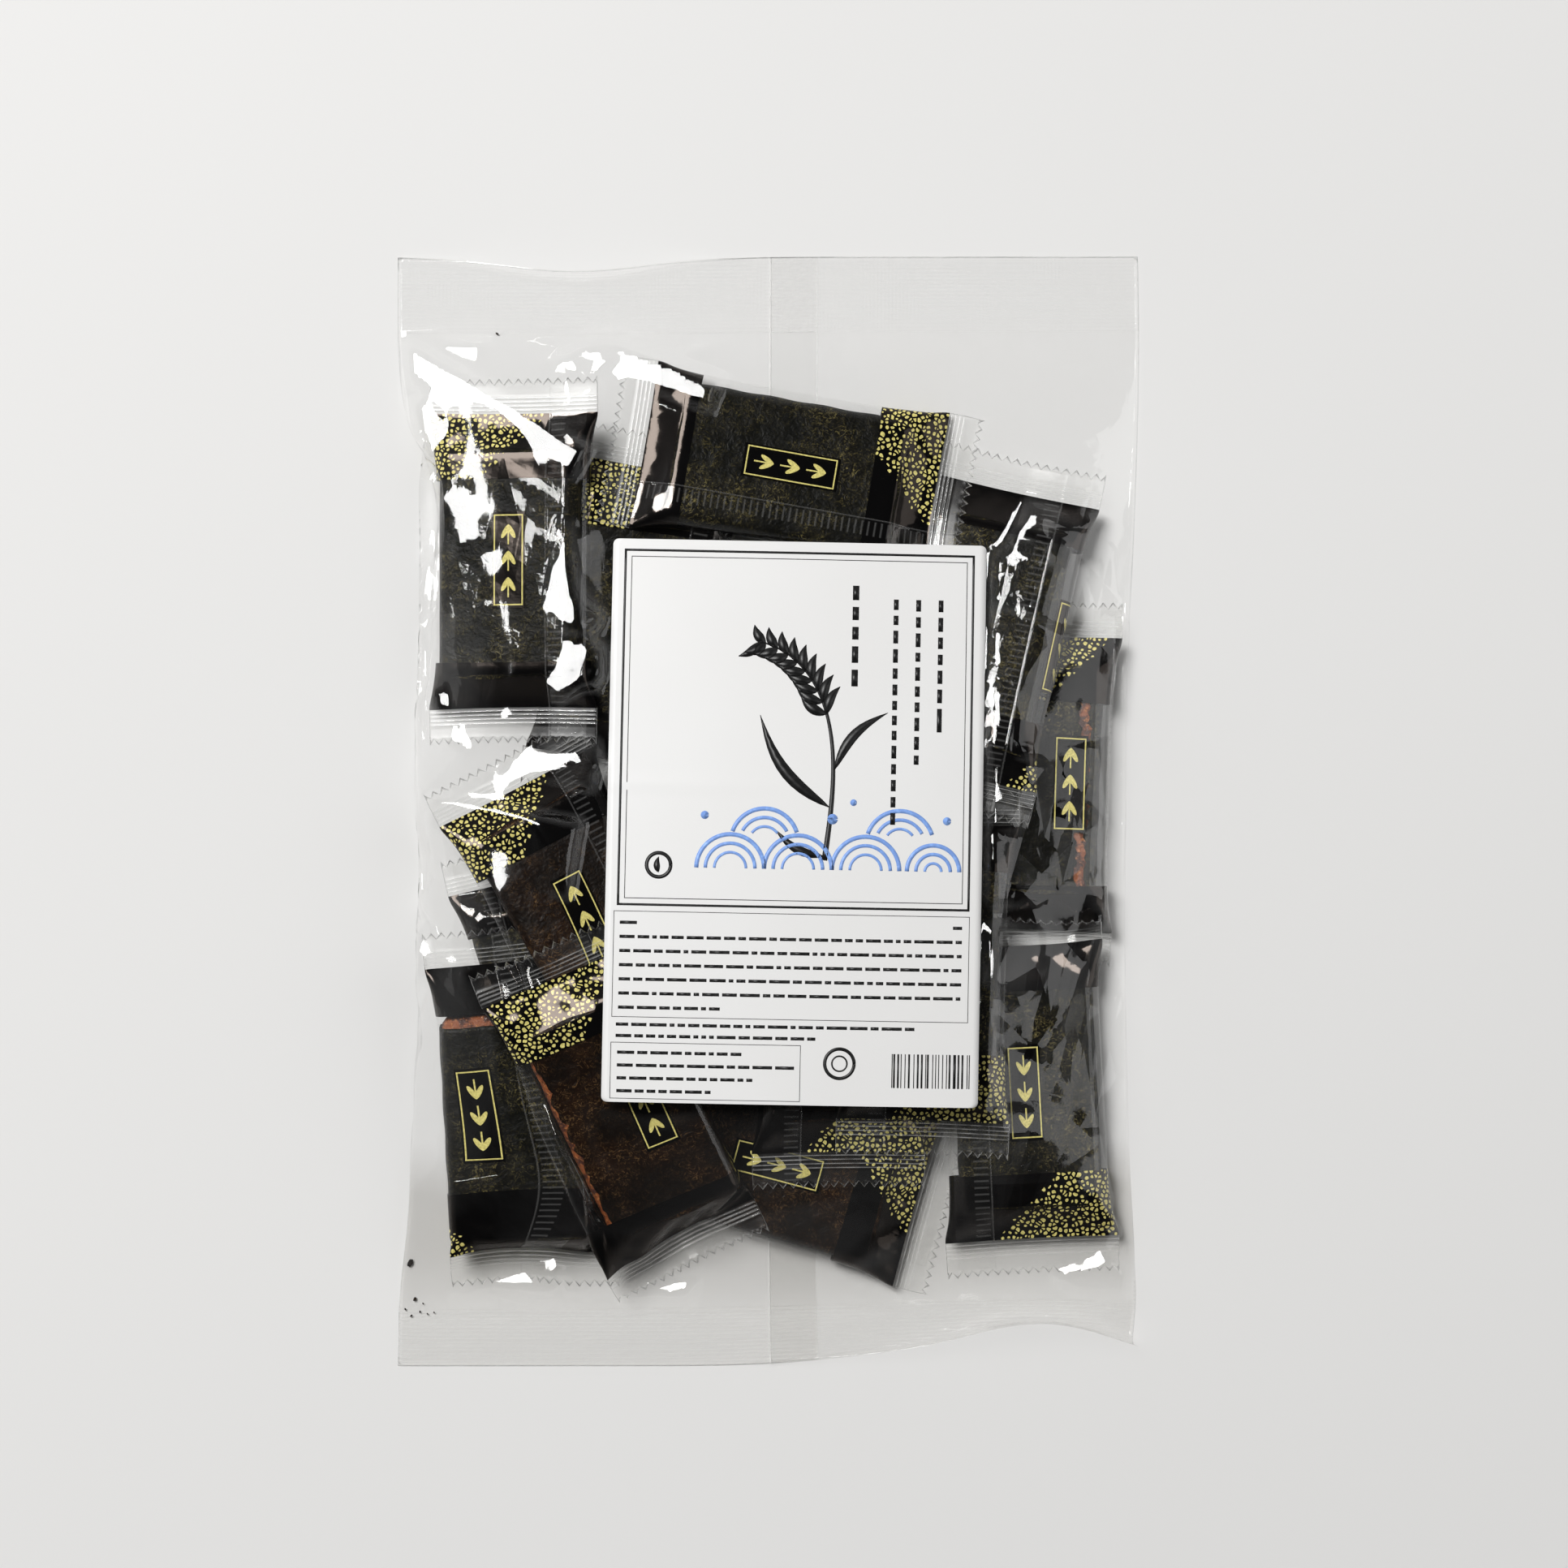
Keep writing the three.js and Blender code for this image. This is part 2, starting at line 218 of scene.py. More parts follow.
def rest_heap():
    """Lets the wrapped crackers and the label sink onto the floor and each other.

    Gives each piece's height and slopes, the label's last.
    """
    across = np.arange(67) * FIELD_STEP - 100
    along = np.arange(101) * FIELD_STEP - 150
    x, y = (a.ravel() for a in np.meshgrid(across, along))
    covers, overs, unders = [], [], []
    for place in PLACES[:-1]:
        u, v = to_local(x, y, place)
        covers.append((np.abs(u) < SACHET_HALF[0]) & (np.abs(v) < SACHET_HALF[1]))
        overs.append(sachet_half(u, v))
        unders.append(overs[-1])
    drop = label_drop(*to_local(x, y, LABEL_PLACE))
    covers.append(on_label(x, y, LABEL_MARGIN))
    overs.append(-drop)
    unders.append(drop)
    count = len(PLACES)
    reach = np.array([SACHET_REACH] * (count - 1) + [LABEL_REACH])
    cell, own = [], []
    high, low, spot = [], [], []
    for i in range(count):
        mine = np.flatnonzero(covers[i])
        cell.append(mine)
        own.append(np.full(len(mine), i))
        for j in range(i):
            shared = np.flatnonzero(covers[i] & covers[j])
            high.append(np.full(len(shared), i))
            low.append(np.full(len(shared), j))
            spot.append(shared)
    cell, own = np.concatenate(cell), np.concatenate(own)
    high, low, spot = np.concatenate(high), np.concatenate(low), np.concatenate(spot)
    overs, unders = np.array(overs), np.array(unders)
    dx = x - np.array([place[0] for place in PLACES])[:, None]
    dy = y - np.array([place[1] for place in PLACES])[:, None]
    state = np.zeros((3, count))
    state[0] = FIRST_HEIGHT + FIRST_RISE * np.arange(count)
    speed = np.zeros((3, count))
    rate = SINK_RATE / np.array([np.ones(count), reach, reach])
    holding = HOLD_HEIGHT + np.minimum(HOLD_SLOPE[0] * (HOLD_EDGE[0] - np.abs(x)),
                                       HOLD_SLOPE[1] * (HOLD_EDGE[1] - np.abs(y)))
    fastest = np.array([[FASTEST_SINK], [FASTEST_TILT], [FASTEST_TILT]])

    def middle(piece, where):
        return state[0, piece] + state[1, piece] * dx[piece, where] + state[2, piece] * dy[piece, where]

    def push(force, piece, where, amount):
        force[0] += np.bincount(piece, amount, count)
        force[1] += np.bincount(piece, amount * dx[piece, where], count)
        force[2] += np.bincount(piece, amount * dy[piece, where], count)

    for _ in range(HEAP_PASSES):
        force = np.zeros((3, count))
        force[0] = -1
        under = np.clip(unders[own, cell] - middle(own, cell), 0, None)
        push(force, own, cell, FLOOR_STIFFNESS * under)
        proud = np.clip(middle(own, cell) + overs[own, cell] - holding[cell], 0, None)
        push(force, own, cell, -HOLD_STIFFNESS * proud * (own < count - 1))
        overlap = middle(low, spot) + overs[low, spot] - middle(high, spot) + unders[high, spot]
        overlap = np.clip(overlap, 0, None) * STIFFNESS
        push(force, high, spot, overlap)
        push(force, low, spot, -overlap)
        speed = DAMPING * speed + force * rate
        state += np.clip(speed, -fastest, fastest)
    return state.T


Rest = namedtuple("Rest", "place height slope_x slope_y middle axes")


def rest_of(place, state):
    """The frame of a piece at rest: its middle, and its own three axes as columns."""
    height, slope_x, slope_y = state
    normal = Vector((-slope_x, -slope_y, 1)).normalized()
    turn = math.radians(place[2])
    side = Vector((math.cos(turn), math.sin(turn), 0))
    side = (side - normal * side.dot(normal)).normalized()
    axes = np.array([side, normal.cross(side), normal]).T
    height += HEAP_LIFT
    return Rest(place, height, slope_x, slope_y, np.array((place[0], place[1], height)), axes)


def plane_height(rest, x, y):
    return rest.height + rest.slope_x * (x - rest.place[0]) + rest.slope_y * (y - rest.place[1])


def to_world(rest, points):
    return points @ rest.axes.T + rest.middle


# ---------------------------------------------------------------- height fields

GRID = 1.0
GRID_X, GRID_Y = 120.0, 170.0
GRID_SHAPE = (int(2 * GRID_Y / GRID) + 1, int(2 * GRID_X / GRID) + 1)
NO_LID = 60.0            # higher than all that the bag holds
FAR = 1000.0             # where a field has nothing


def grid_places():
    """The places of a height field's points."""
    y, x = np.mgrid[0:GRID_SHAPE[0], 0:GRID_SHAPE[1]] * GRID
    return x - GRID_X, y - GRID_Y


def sample(field, x, y):
    """Reads a height field between its grid points."""
    fx = np.clip((x + GRID_X) / GRID, 0, GRID_SHAPE[1] - 1.001)
    fy = np.clip((y + GRID_Y) / GRID, 0, GRID_SHAPE[0] - 1.001)
    i, j = fx.astype(int), fy.astype(int)
    fx, fy = fx - i, fy - j
    low = field[j, i] * (1 - fx) + field[j, i + 1] * fx
    high = field[j + 1, i] * (1 - fx) + field[j + 1, i + 1] * fx
    return low * (1 - fy) + high * fy


def splat(points, field, highest=True):
    """Marks points in a height field that keeps the highest or lowest at each place."""
    i = np.rint((points[..., 0].ravel() + GRID_X) / GRID).astype(int)
    j = np.rint((points[..., 1].ravel() + GRID_Y) / GRID).astype(int)
    keep = np.maximum if highest else np.minimum
    keep.at(field, (j, i), points[..., 2].ravel())


def grow(field, highest=True):
    """Spreads each height by one cell, which closes the gaps between splatted points."""
    keep = np.maximum if highest else np.minimum
    out = field.copy()
    out[1:] = keep(out[1:], field[:-1])
    out[:-1] = keep(out[:-1], field[1:])
    wide = out.copy()
    out[:, 1:] = keep(out[:, 1:], wide[:, :-1])
    out[:, :-1] = keep(out[:, :-1], wide[:, 1:])
    return out


def body_field(rest, sign):
    """Top (sign 1) or underside (sign -1) of a wrapped cracker, without its seals."""
    x, y = grid_places()
    half = sachet_half(*to_local(x, y, rest.place), 41.6, 70, 8.8)
    field = plane_height(rest, x, y) + sign * half
    return np.where(half > 0.3, field, -sign * FAR)


# ---------------------------------------------------------------- film


def pass_count(full):
    return int(full * (1.0))


def pull(delta, length, slack):
    """Moves that bring links to their length; a short link pushes only slack times as hard."""
    distance = np.sqrt(np.einsum("...i,...i->...", delta, delta)) + 1e-9
    stretch = (distance - length) / distance
    stretch = np.where(stretch < 0, stretch * slack, stretch)
    return delta * (0.5 * stretch)[..., None]


def relax_film(film, ring_step, row_step, passes, settle, slack=0.5, bend=0.02, crease=None, keep=0.9):
    """Brings film tubes to rest. film holds tubes x rows x ring x 3; settle moves points off what they
    touch and holds the seals. Ring points run round the tube from its left fold."""
    film = film.astype(np.float32)
    before = film.copy()
    diagonal = math.hypot(ring_step, row_step)
    fold = np.ones(film.shape[2], np.float32)
    if crease is not None:
        fold[[0, film.shape[2] // 2]] = crease
    fold = fold[:, None]
    for _ in range(passes):
        now = film.copy()
        film = film + keep * (film - before)
        before = now
        move = np.zeros_like(film)
        beside = np.roll(film, -1, axis=2)
        step = pull(beside - film, ring_step, slack)
        move += step
        move -= np.roll(step, 1, axis=2)
        step = pull(film[:, 1:] - film[:, :-1], row_step, slack)
        move[:, :-1] += step
        move[:, 1:] -= step
        step = pull(beside[:, 1:] - film[:, :-1], diagonal, slack)
        move[:, :-1] += step
        move[:, 1:] -= np.roll(step, 1, axis=2)
        step = pull(film[:, 1:] - beside[:, :-1], diagonal, slack)
        move[:, 1:] -= step
        move[:, :-1] += np.roll(step, 1, axis=2)
        film = film + 0.24 * move
        bow = (np.roll(film, -1, axis=2) + np.roll(film, 1, axis=2) - 2 * film) * fold
        film = film - bend * (np.roll(bow, -1, axis=2) + np.roll(bow, 1, axis=2) - 2 * bow)
        bow = np.zeros_like(film)
        bow[:, 1:-1] = film[:, 2:] + film[:, :-2] - 2 * film[:, 1:-1]
        film[:, 1:-1] -= bend * (bow[:, 2:] + bow[:, :-2] - 2 * bow[:, 1:-1])
        settle(film)
    return film


def refine(film):
    """Doubles the ring points and the rows of film tubes along smooth curves."""
    ring = np.empty(film.shape[:2] + (2 * film.shape[2], 3), film.dtype)
    ring[:, :, 0::2] = film
    near = film + np.roll(film, -1, axis=2)
    far = np.roll(film, 1, axis=2) + np.roll(film, -2, axis=2)
    ring[:, :, 1::2] = 0.5625 * near - 0.0625 * far
    rows = np.empty((ring.shape[0], 2 * ring.shape[1] - 1) + ring.shape[2:], film.dtype)
    rows[:, 0::2] = ring
    middle = 0.5 * (ring[:, 1:] + ring[:, :-1])
    middle[:, 1:-1] = 0.5625 * (ring[:, 1:-2] + ring[:, 2:-1]) - 0.0625 * (ring[:, :-3] + ring[:, 3:])
    rows[:, 1::2] = middle
    return rows


def mirror(film):
    """For each ring point, the one that lies against it when the tube is flat."""
    return np.roll(film[:, :, ::-1], 1, axis=2)


Crease = namedtuple("Crease", "x y turn half_long half_wide rise")


def creases(x, y, folds):
    """A height of long, low pyramids: straight creases with flat facets beside them."""
    out = np.zeros(np.broadcast(x, y).shape)
    for fold in folds:
        c, s = math.cos(math.radians(fold.turn)), math.sin(math.radians(fold.turn))
        along = np.abs((x - fold.x) * c + (y - fold.y) * s) / fold.half_long
        across = np.abs((y - fold.y) * c - (x - fold.x) * s) / fold.half_wide
        out += fold.rise * np.clip(1 - along - across, 0, None)
    return out


def random_creases(rng, count, half_x, half_y, longest, widest, slope):
    """Creases of uneven size all over a film; slope is that of the steepest facet."""
    folds = []
    for _ in range(count):
        half_wide = rng.uniform(0.3, 1.0) * widest
        folds.append(Crease(
            rng.uniform(-half_x, half_x), rng.uniform(-half_y, half_y), rng.uniform(0, 180),
            rng.uniform(0.3, 1.0) * longest, half_wide, rng.uniform(-0.6, 1.0) * slope * half_wide))
    return folds


def keep_inside(points, lowest, gap):
    """Keeps points over the floor and, where the label lies, a gap under it."""
    x, y = points[..., 0], points[..., 1]
    lid = np.where(on_label(x, y, 1.5), label_height(x, y) - gap, FAR)
    points[..., 2] = np.clip(points[..., 2], lowest, np.maximum(lid, lowest))
    return points


# ---------------------------------------------------------------- wraps

WRAP_COLUMNS = 40
WRAP_ROWS = 43
WRAP_PASSES = 260
FOOD_ROUND = 3.2
FOOD_ROOM = (0.6, 0.5, 0.62)    # from a cracker's sides, ends and faces to its film
REACH_U, REACH_V = 32, 58       # how far a wrap's own fields of floor and ceiling reach
CORNER_FROM = 17.0              # along the wrap, between the plate and the gold corner


def box_distance(u, v, w, half, rounding):
    """Distance out of a rounded box, and the way out."""
    q = np.stack((np.abs(u), np.abs(v), np.abs(w)), -1) - (np.array(half, np.float32) - rounding)
    outside = np.clip(q, 0, None)
    far = np.sqrt((outside ** 2).sum(-1))
    distance = far + np.clip(q.max(-1), None, 0) - rounding
    way = np.where(far[..., None] > 0, outside, (q == q.max(-1, keepdims=True)).astype(np.float32))
    way /= np.sqrt((way ** 2).sum(-1, keepdims=True)) + 1e-9
    return distance, way * np.sign(np.stack((u, v, w), -1))


def wrap_films(rests, sizes, food):
    """The film of every wrap at rest round its cracker, in the sachets' own frames, in millimetres."""
    width, print_length = sizes.width / MM, sizes.print_length / MM
    seal = sizes.end_seal / MM
    length = print_length + 2 * seal
    half_print = print_length / 2
    food_size = (food.width, food.length, food.thickness)
    half_food = tuple(size / MM / 2 + room for size, room in zip(food_size, FOOD_ROOM))
    count = len(rests)
    rng = np.random.default_rng(11)

    tops = [body_field(rest, 1) for rest in rests]
    bottoms = [body_field(rest, -1) for rest in rests]
    x, y = grid_places()
    under_label = np.where(on_label(x, y, 2.0), label_height(x, y) - 0.55, NO_LID)
    uu, vv = np.meshgrid(np.arange(-REACH_U, REACH_U + 1), np.arange(-REACH_V, REACH_V + 1))
    floors, ceilings, lids = [], [], []
    for k, rest in enumerate(rests):
        x, y = to_bag(uu, vv, rest.place)
        middle = plane_height(rest, x, y)
        floor = np.full(GRID_SHAPE, 0.3)
        for lower in tops[:k]:
            floor = np.maximum(floor, lower)
        ceiling = np.full(GRID_SHAPE, NO_LID)
        for upper in bottoms[k + 1:]:
            ceiling = np.minimum(ceiling, upper)
        ceiling = np.minimum(ceiling, under_label)
        floors.append(sample(floor, x, y) - middle)
        ceilings.append(sample(ceiling, x, y) - middle)
        lids.append(sample(under_label, x, y) - middle)
    floors, ceilings, lids = (np.array(a, np.float32) for a in (floors, ceilings, lids))
    shift = np.array([s.food_at for s in SACHETS], np.float32)[:, :, None, None]
    number = np.arange(count)[:, None, None]

    def settle(film):
        u, v, w = film[..., 0], film[..., 1], film[..., 2]
        i = np.clip(np.rint(u + REACH_U).astype(int), 0, 2 * REACH_U)
        j = np.clip(np.rint(v + REACH_V).astype(int), 0, 2 * REACH_V)
        low = floors[number, j, i] + 0.25
        high = np.maximum(ceilings[number, j, i] - 0.25, low + 0.1)
        near_food = (np.abs(u - shift[:, 0]) < half_food[0]) & (np.abs(v - shift[:, 1]) < half_food[1])
        clamped = np.clip(w, low, high)
        film[..., 2] = np.where(near_food, w * 0.999, w + 0.5 * (clamped - w))
        lid = lids[number, j, i]
        lid = np.where(near_food, np.maximum(lid, half_food[2] + 0.15), lid)
        film[..., 2] = np.minimum(film[..., 2], lid)
        distance, way = box_distance(u - shift[:, 0], v - shift[:, 1], film[..., 2], half_food, FOOD_ROUND)
        film += way * np.clip(0.12 - distance, 0, None)[..., None]
        # No wrap slides off its cracker.
        material = np.linspace(-length / 2, length / 2, film.shape[1])
        slid = film[..., 1].mean(axis=2) - material
        free = 0.3 + 1.6 * np.abs(2 * material / length)
        film[..., 1] -= (0.3 * np.sign(slid) * np.clip(np.abs(slid) - free, 0, None))[..., None]
        sealed = np.abs(material) >= half_print - 0.2
        flat = 0.5 * (film + mirror(film))
        film[:, sealed] = flat[:, sealed]

    rows, ring = WRAP_ROWS, WRAP_COLUMNS
    angle = np.arange(ring) / ring
    across = np.where(angle < 0.5, 2 * angle, 2 - 2 * angle) * width - width / 2
    along = np.linspace(-length / 2, length / 2, rows)
    swell = 5.4 * np.clip((half_print - np.abs(along)) / 9, 0, 1)
    film = np.zeros((count, rows, ring, 3), np.float32)
    film[..., 0] = across * 0.94
    film[..., 1] = along[:, None]
    side = np.where(angle <= 0.5, 1.0, -1.0)
    film[..., 2] = side * np.sqrt(np.clip(1 - (across / (width / 2)) ** 4, 0, 1)) * swell[:, None]
    film += rng.normal(0, 0.4, film.shape)
    step, row_step = width / (ring / 2), length / (rows - 1)
    film = relax_film(film, step, row_step * 1.006, pass_count(WRAP_PASSES), settle, 1.0, 0.008)
    film = refine(film)
    return relax_film(film, step / 2, row_step * 0.503, pass_count(WRAP_PASSES), settle, 1.0, 0.01)


def smooth_curve(a, b, c, d, t):
    """A point a part t of the way from b to c, on the curve that passes through all four."""
    return b + 0.5 * t * (c - a + t * (2 * a - 5 * b + 4 * c - d + t * (3 * (b - c) + d - a)))


def resample_rows(film, where):
    """Reads film tubes at places between their rows, along smooth curves."""
    last = film.shape[1] - 1
    k = np.clip(np.floor(where).astype(int), 0, last - 1)
    near = [film[:, np.clip(k + n, 0, last)] for n in (-1, 0, 1, 2)]
    return smooth_curve(*near, (where - k)[:, None, None])


def resample_ring(film, count):
    """Reads film tubes at another number of places round their ring, along smooth curves."""
    where = np.arange(count) * film.shape[2] / count
    k = np.floor(where).astype(int)
    near = [np.take(film, k + n, axis=2, mode="wrap") for n in (-1, 0, 1, 2)]
    return smooth_curve(*near, (where - k)[:, None])


# The wrap's print, and where the maps of the two long seals start beside that of the film.
PLAIN_END = 13.0
GOLD_CORNER = 18.5
PLATE_HALF = (4.5, 12.75)
TICK_PITCH = 1.75
FIN_MAP = 200.0
LAP_MAP = 500.0

CRIMPS = 4
FIRST_CRIMP = 0.9
CRIMP_PITCH = 1.1
CRIMP_HALF_WIDE = 0.22
CRIMP_RISE = 0.17
LIP_RISE = 0.16


def wrap_rows(sizes):
    """Where the rows of a finished wrap lie along it, and how far each one is pressed up.

    They are close together in the seals, for the crimps; the last row is the zigzag cut.
    """
    half = sizes.print_length / MM / 2
    end = half + sizes.end_seal / MM
    spots, press = [half + 0.35], [0.0]
    for k in range(CRIMPS):
        crimp = half + FIRST_CRIMP + CRIMP_PITCH * k
        spots += [crimp - CRIMP_HALF_WIDE, crimp, crimp + CRIMP_HALF_WIDE]
        press += [0.0, CRIMP_RISE, 0.0]
    spots += [half + 5.3, half + 6.5, end - sizes.tooth / MM - 0.35, end]
    press += [0.0, 0.0, 0.0, LIP_RISE]
    spots, press = np.array(spots), np.array(press)
    middle = np.linspace(-half, half, 73)
    return (np.concatenate((-spots[::-1], middle, spots)),
            np.concatenate((press[::-1], np.zeros(len(middle)), press)))


def wrap_creases(rng, half_print):
    """The creases of one wrap: tents where it narrows to its seals, and a few all over."""
    folds = random_creases(rng, 10, 21, half_print - 6, 16, 5, 0.075)
    for side in (-1, 1):
        for end in (-1, 1):
            turn = math.degrees(math.atan2(end * 8.5, -side * 9.0)) + rng.normal(0, 9)
            folds.append(Crease(side * 14.0, end * (half_print - 4.8), turn, 8.0, 4.5,
                                0.8 * rng.uniform(0.4, 1.3)))
            folds.append(Crease(side * rng.uniform(2, 8), end * (half_print - 4.0), 90 + rng.normal(0, 22),
                                6.0, 2.6, 0.5 * rng.uniform(-0.8, 1)))
    return folds


# ---------------------------------------------------------------- meshes

def select_only(piece):
    bpy.ops.object.select_all(action="DESELECT")
    piece.select_set(True)
    bpy.context.view_layer.objects.active = piece


def new_sheet(name, columns, rows):
    """A flat grid, ready to be given its points."""
    bpy.ops.object.select_all(action="DESELECT")
    bpy.ops.mesh.primitive_grid_add(x_subdivisions=columns, y_subdivisions=rows, size=1)
    piece = bpy.context.object
    piece.name = name
    piece.data.name = name
    return piece


def give_points(piece, points, unit=MM):
    """Moves a mesh's points to their places, in millimetres if no unit is given; a grid's row by row."""
    piece.data.vertices.foreach_set("co", (np.asarray(points) * unit).astype(np.float32).ravel())
    piece.data.update()


def mesh_points(piece):
    """A mesh's points, in metres."""
    points = np.empty(3 * len(piece.data.vertices), np.float32)
    piece.data.vertices.foreach_get("co", points)
    return points.reshape(-1, 3).astype(float)


def print_spots(piece):
    """The print map's places, one for each corner of each face."""
    spots = np.empty(2 * len(piece.data.loops), np.float32)
    piece.data.uv_layers[0].data.foreach_get("uv", spots)
    return spots.reshape(-1, 2)


def set_print_spots(piece, spots):
    piece.data.uv_layers[0].data.foreach_set("uv", spots.astype(np.float32).ravel())


def give_print(piece, columns_at, rows_at, corner=0.0):
    """Lays the print map on a grid: its places in millimetres on the flat film.

    The print's gold corner lies further along the rows by the amount given.
    """
    piece.data.uv_layers[0].name = "print"
    spots = print_spots(piece)
    column = spots[:, 0] * (len(columns_at) - 1)
    row = spots[:, 1] * (len(rows_at) - 1)
    spots = np.stack((
        np.interp(column, np.arange(len(columns_at)), columns_at),
        np.interp(row, np.arange(len(rows_at)), rows_at)), -1)
    spots[:, 0] += np.where(spots[:, 1] > CORNER_FROM, corner, 0.0)
    set_print_spots(piece, spots)


def wrap_around(piece, half_turn):
    """Brings each face's print places back into the one way round that the print is drawn on."""
    spots = print_spots(piece).reshape(-1, 4, 2)
    turns = np.round(spots[:, :, 0].mean(axis=1) / (2 * half_turn))
    spots[:, :, 0] -= (turns * 2 * half_turn)[:, None]
    set_print_spots(piece, spots)


def part_layers(film, sealed):
    """Lays a tube's front and back a hair apart in its seals; they meet at its folds and cut edges.

    Gives 1 for each ring point of the front, -1 for each of the back and 0 for the folds.
    """
    ring = film.shape[-2]
    front = np.where(np.arange(ring) <= ring // 2, 1.0, -1.0)
    front[[0, ring // 2]] = 0
    apart = np.where(sealed, 0.05, 0.0)
    apart[[0, -1]] = 0
    film[..., 2] += apart[:, None] * front
    return front


def edit_mesh(piece, **steps):
    """Runs mesh operators in edit mode, each given by its name with its values."""
    select_only(piece)
    bpy.ops.object.mode_set(mode="EDIT")
    for name, values in steps.items():
        getattr(bpy.ops.mesh, name)(**values)
    bpy.ops.object.mode_set(mode="OBJECT")


def close_doubles(piece):
    """Merges the points that lie on each other, which closes a tube along its side and ends."""
    edit_mesh(piece, select_all={"action": "SELECT"}, remove_doubles={"threshold": 1e-6},
              normals_make_consistent={"inside": False})


def apply_modifier(piece, kind, **values):
    select_only(piece)
    modifier = piece.modifiers.new(kind.title(), kind)
    for key, value in values.items():
        setattr(modifier, key, value)
    bpy.ops.object.modifier_apply(modifier=modifier.name)


def finish_piece(piece, material, node="bag"):
    """Gives a finished piece its material, its smooth shading and its place in the frame."""
    piece.data.materials.clear()
    piece.data.materials.append(material)
    select_only(piece)
    bpy.ops.object.shade_smooth()
    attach(piece, "root")
    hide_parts(node)


def join(pieces, name):
    bpy.ops.object.select_all(action="DESELECT")
    for piece in pieces:
        piece.select_set(True)
    bpy.context.view_layer.objects.active = pieces[0]
    if len(pieces) > 1:
        bpy.ops.object.join()
    pieces[0].name = name
    pieces[0].data.name = name
    return pieces[0]


# ---------------------------------------------------------------- materials

class Nodes:
    """The shader nodes of one material or world."""

    def __init__(self, name, blocks=None):
        self.block = (bpy.data.materials if blocks is None else blocks).new(name)
        self.block.use_nodes = True
        self.tree = self.block.node_tree
        self.tree.nodes.clear()

    def add(self, kind, inputs=None, **values):
        node = self.tree.nodes.new("ShaderNode" + kind)
        for key, value in values.items():
            setattr(node, key, value)
        for key, value in (inputs or {}).items():
            self.feed(node.inputs[key], value)
        return node

    def feed(self, socket, value):
        if isinstance(value, bpy.types.NodeSocket):
            self.tree.links.new(value, socket)
        else:
            socket.default_value = value

    def math(self, operation, *values):
        return self.add("Math", dict(enumerate(values)), operation=operation).outputs[0]

    def inside(self, low, value, high):
        """1 where the value lies between two others."""
        return self.math("MULTIPLY", self.math("GREATER_THAN", value, low),
                         self.math("LESS_THAN", value, high))

    def both(self, *masks):
        return functools.reduce(lambda out, mask: self.math("MULTIPLY", out, mask), masks)

    def either(self, *masks):
        return functools.reduce(lambda out, mask: self.math("MAXIMUM", out, mask), masks)

    def blend(self, amount, first, second):
        return self.add("Mix", {0: amount, 6: first, 7: second}, data_type="RGBA").outputs[2]

    def ramp(self, value, low, high, first=0.0, second=1.0):
        node = self.add("MapRange", {"Value": value, "From Min": low, "From Max": high,
                                     "To Min": first, "To Max": second}, clamp=True)
        return node.outputs[0]

    def noise(self, coordinates, scale, detail=3.0, rough=0.5, warp=0.0):
        node = self.add("TexNoise", {"Vector": coordinates, "Scale": scale, "Detail": detail,
                                     "Roughness": rough, "Distortion": warp})
        return node.outputs[0]

    def own_noise(self, scale, detail=3.0, rough=0.5, warp=0.0):
        """Noise at the piece's own places, its scale for a metre."""
        return self.noise(self.add("TexCoord").outputs["Object"], scale, detail, rough, warp)

    def bump(self, height, distance=MM, strength=1.0):
        return self.add("Bump", {"Height": height, "Distance": distance, "Strength": strength}).outputs[0]

    def total(self, *parts):
        """The sum of heights, each given with how much of it counts."""
        out = 0.0
        for height, share in parts:
            out = self.math("MULTIPLY_ADD", height, share, out)
        return out

    def crumple(self, places, cell, turn, metric):
        """The creased height of film that was crumpled and drawn out again: flat facets, sharp folds."""
        turned = self.add("Mapping", {
            "Vector": places, "Rotation": (0, 0, math.radians(turn)), "Scale": (1 / cell, 0.55 / cell, 1)})
        cells = self.add("TexVoronoi", {"Vector": turned.outputs[0], "Scale": 1.0, "Randomness": 1.0},
                         voronoi_dimensions="2D", feature="F1", distance=metric)
        return self.math("MULTIPLY", cells.outputs["Distance"], cell)

    def line(self, value, middle, half_wide):
        """1 on a line of the print map, falling to 0 at its sides."""
        away = self.math("ABSOLUTE", self.math("SUBTRACT", value, middle))
        return self.ramp(away, 0.0, half_wide, 1.0, 0.0)

    def mix_shader(self, amount, first, second):
        return self.add("MixShader", {0: amount, 1: first, 2: second}).outputs[0]

    def finish(self, shader, output="OutputMaterial"):
        self.add(output, {0: shader})
        return self.block

    def painted(self, inputs):
        """Ends the material in one plain shader."""
        return self.finish(self.add("BsdfPrincipled", inputs).outputs[0])


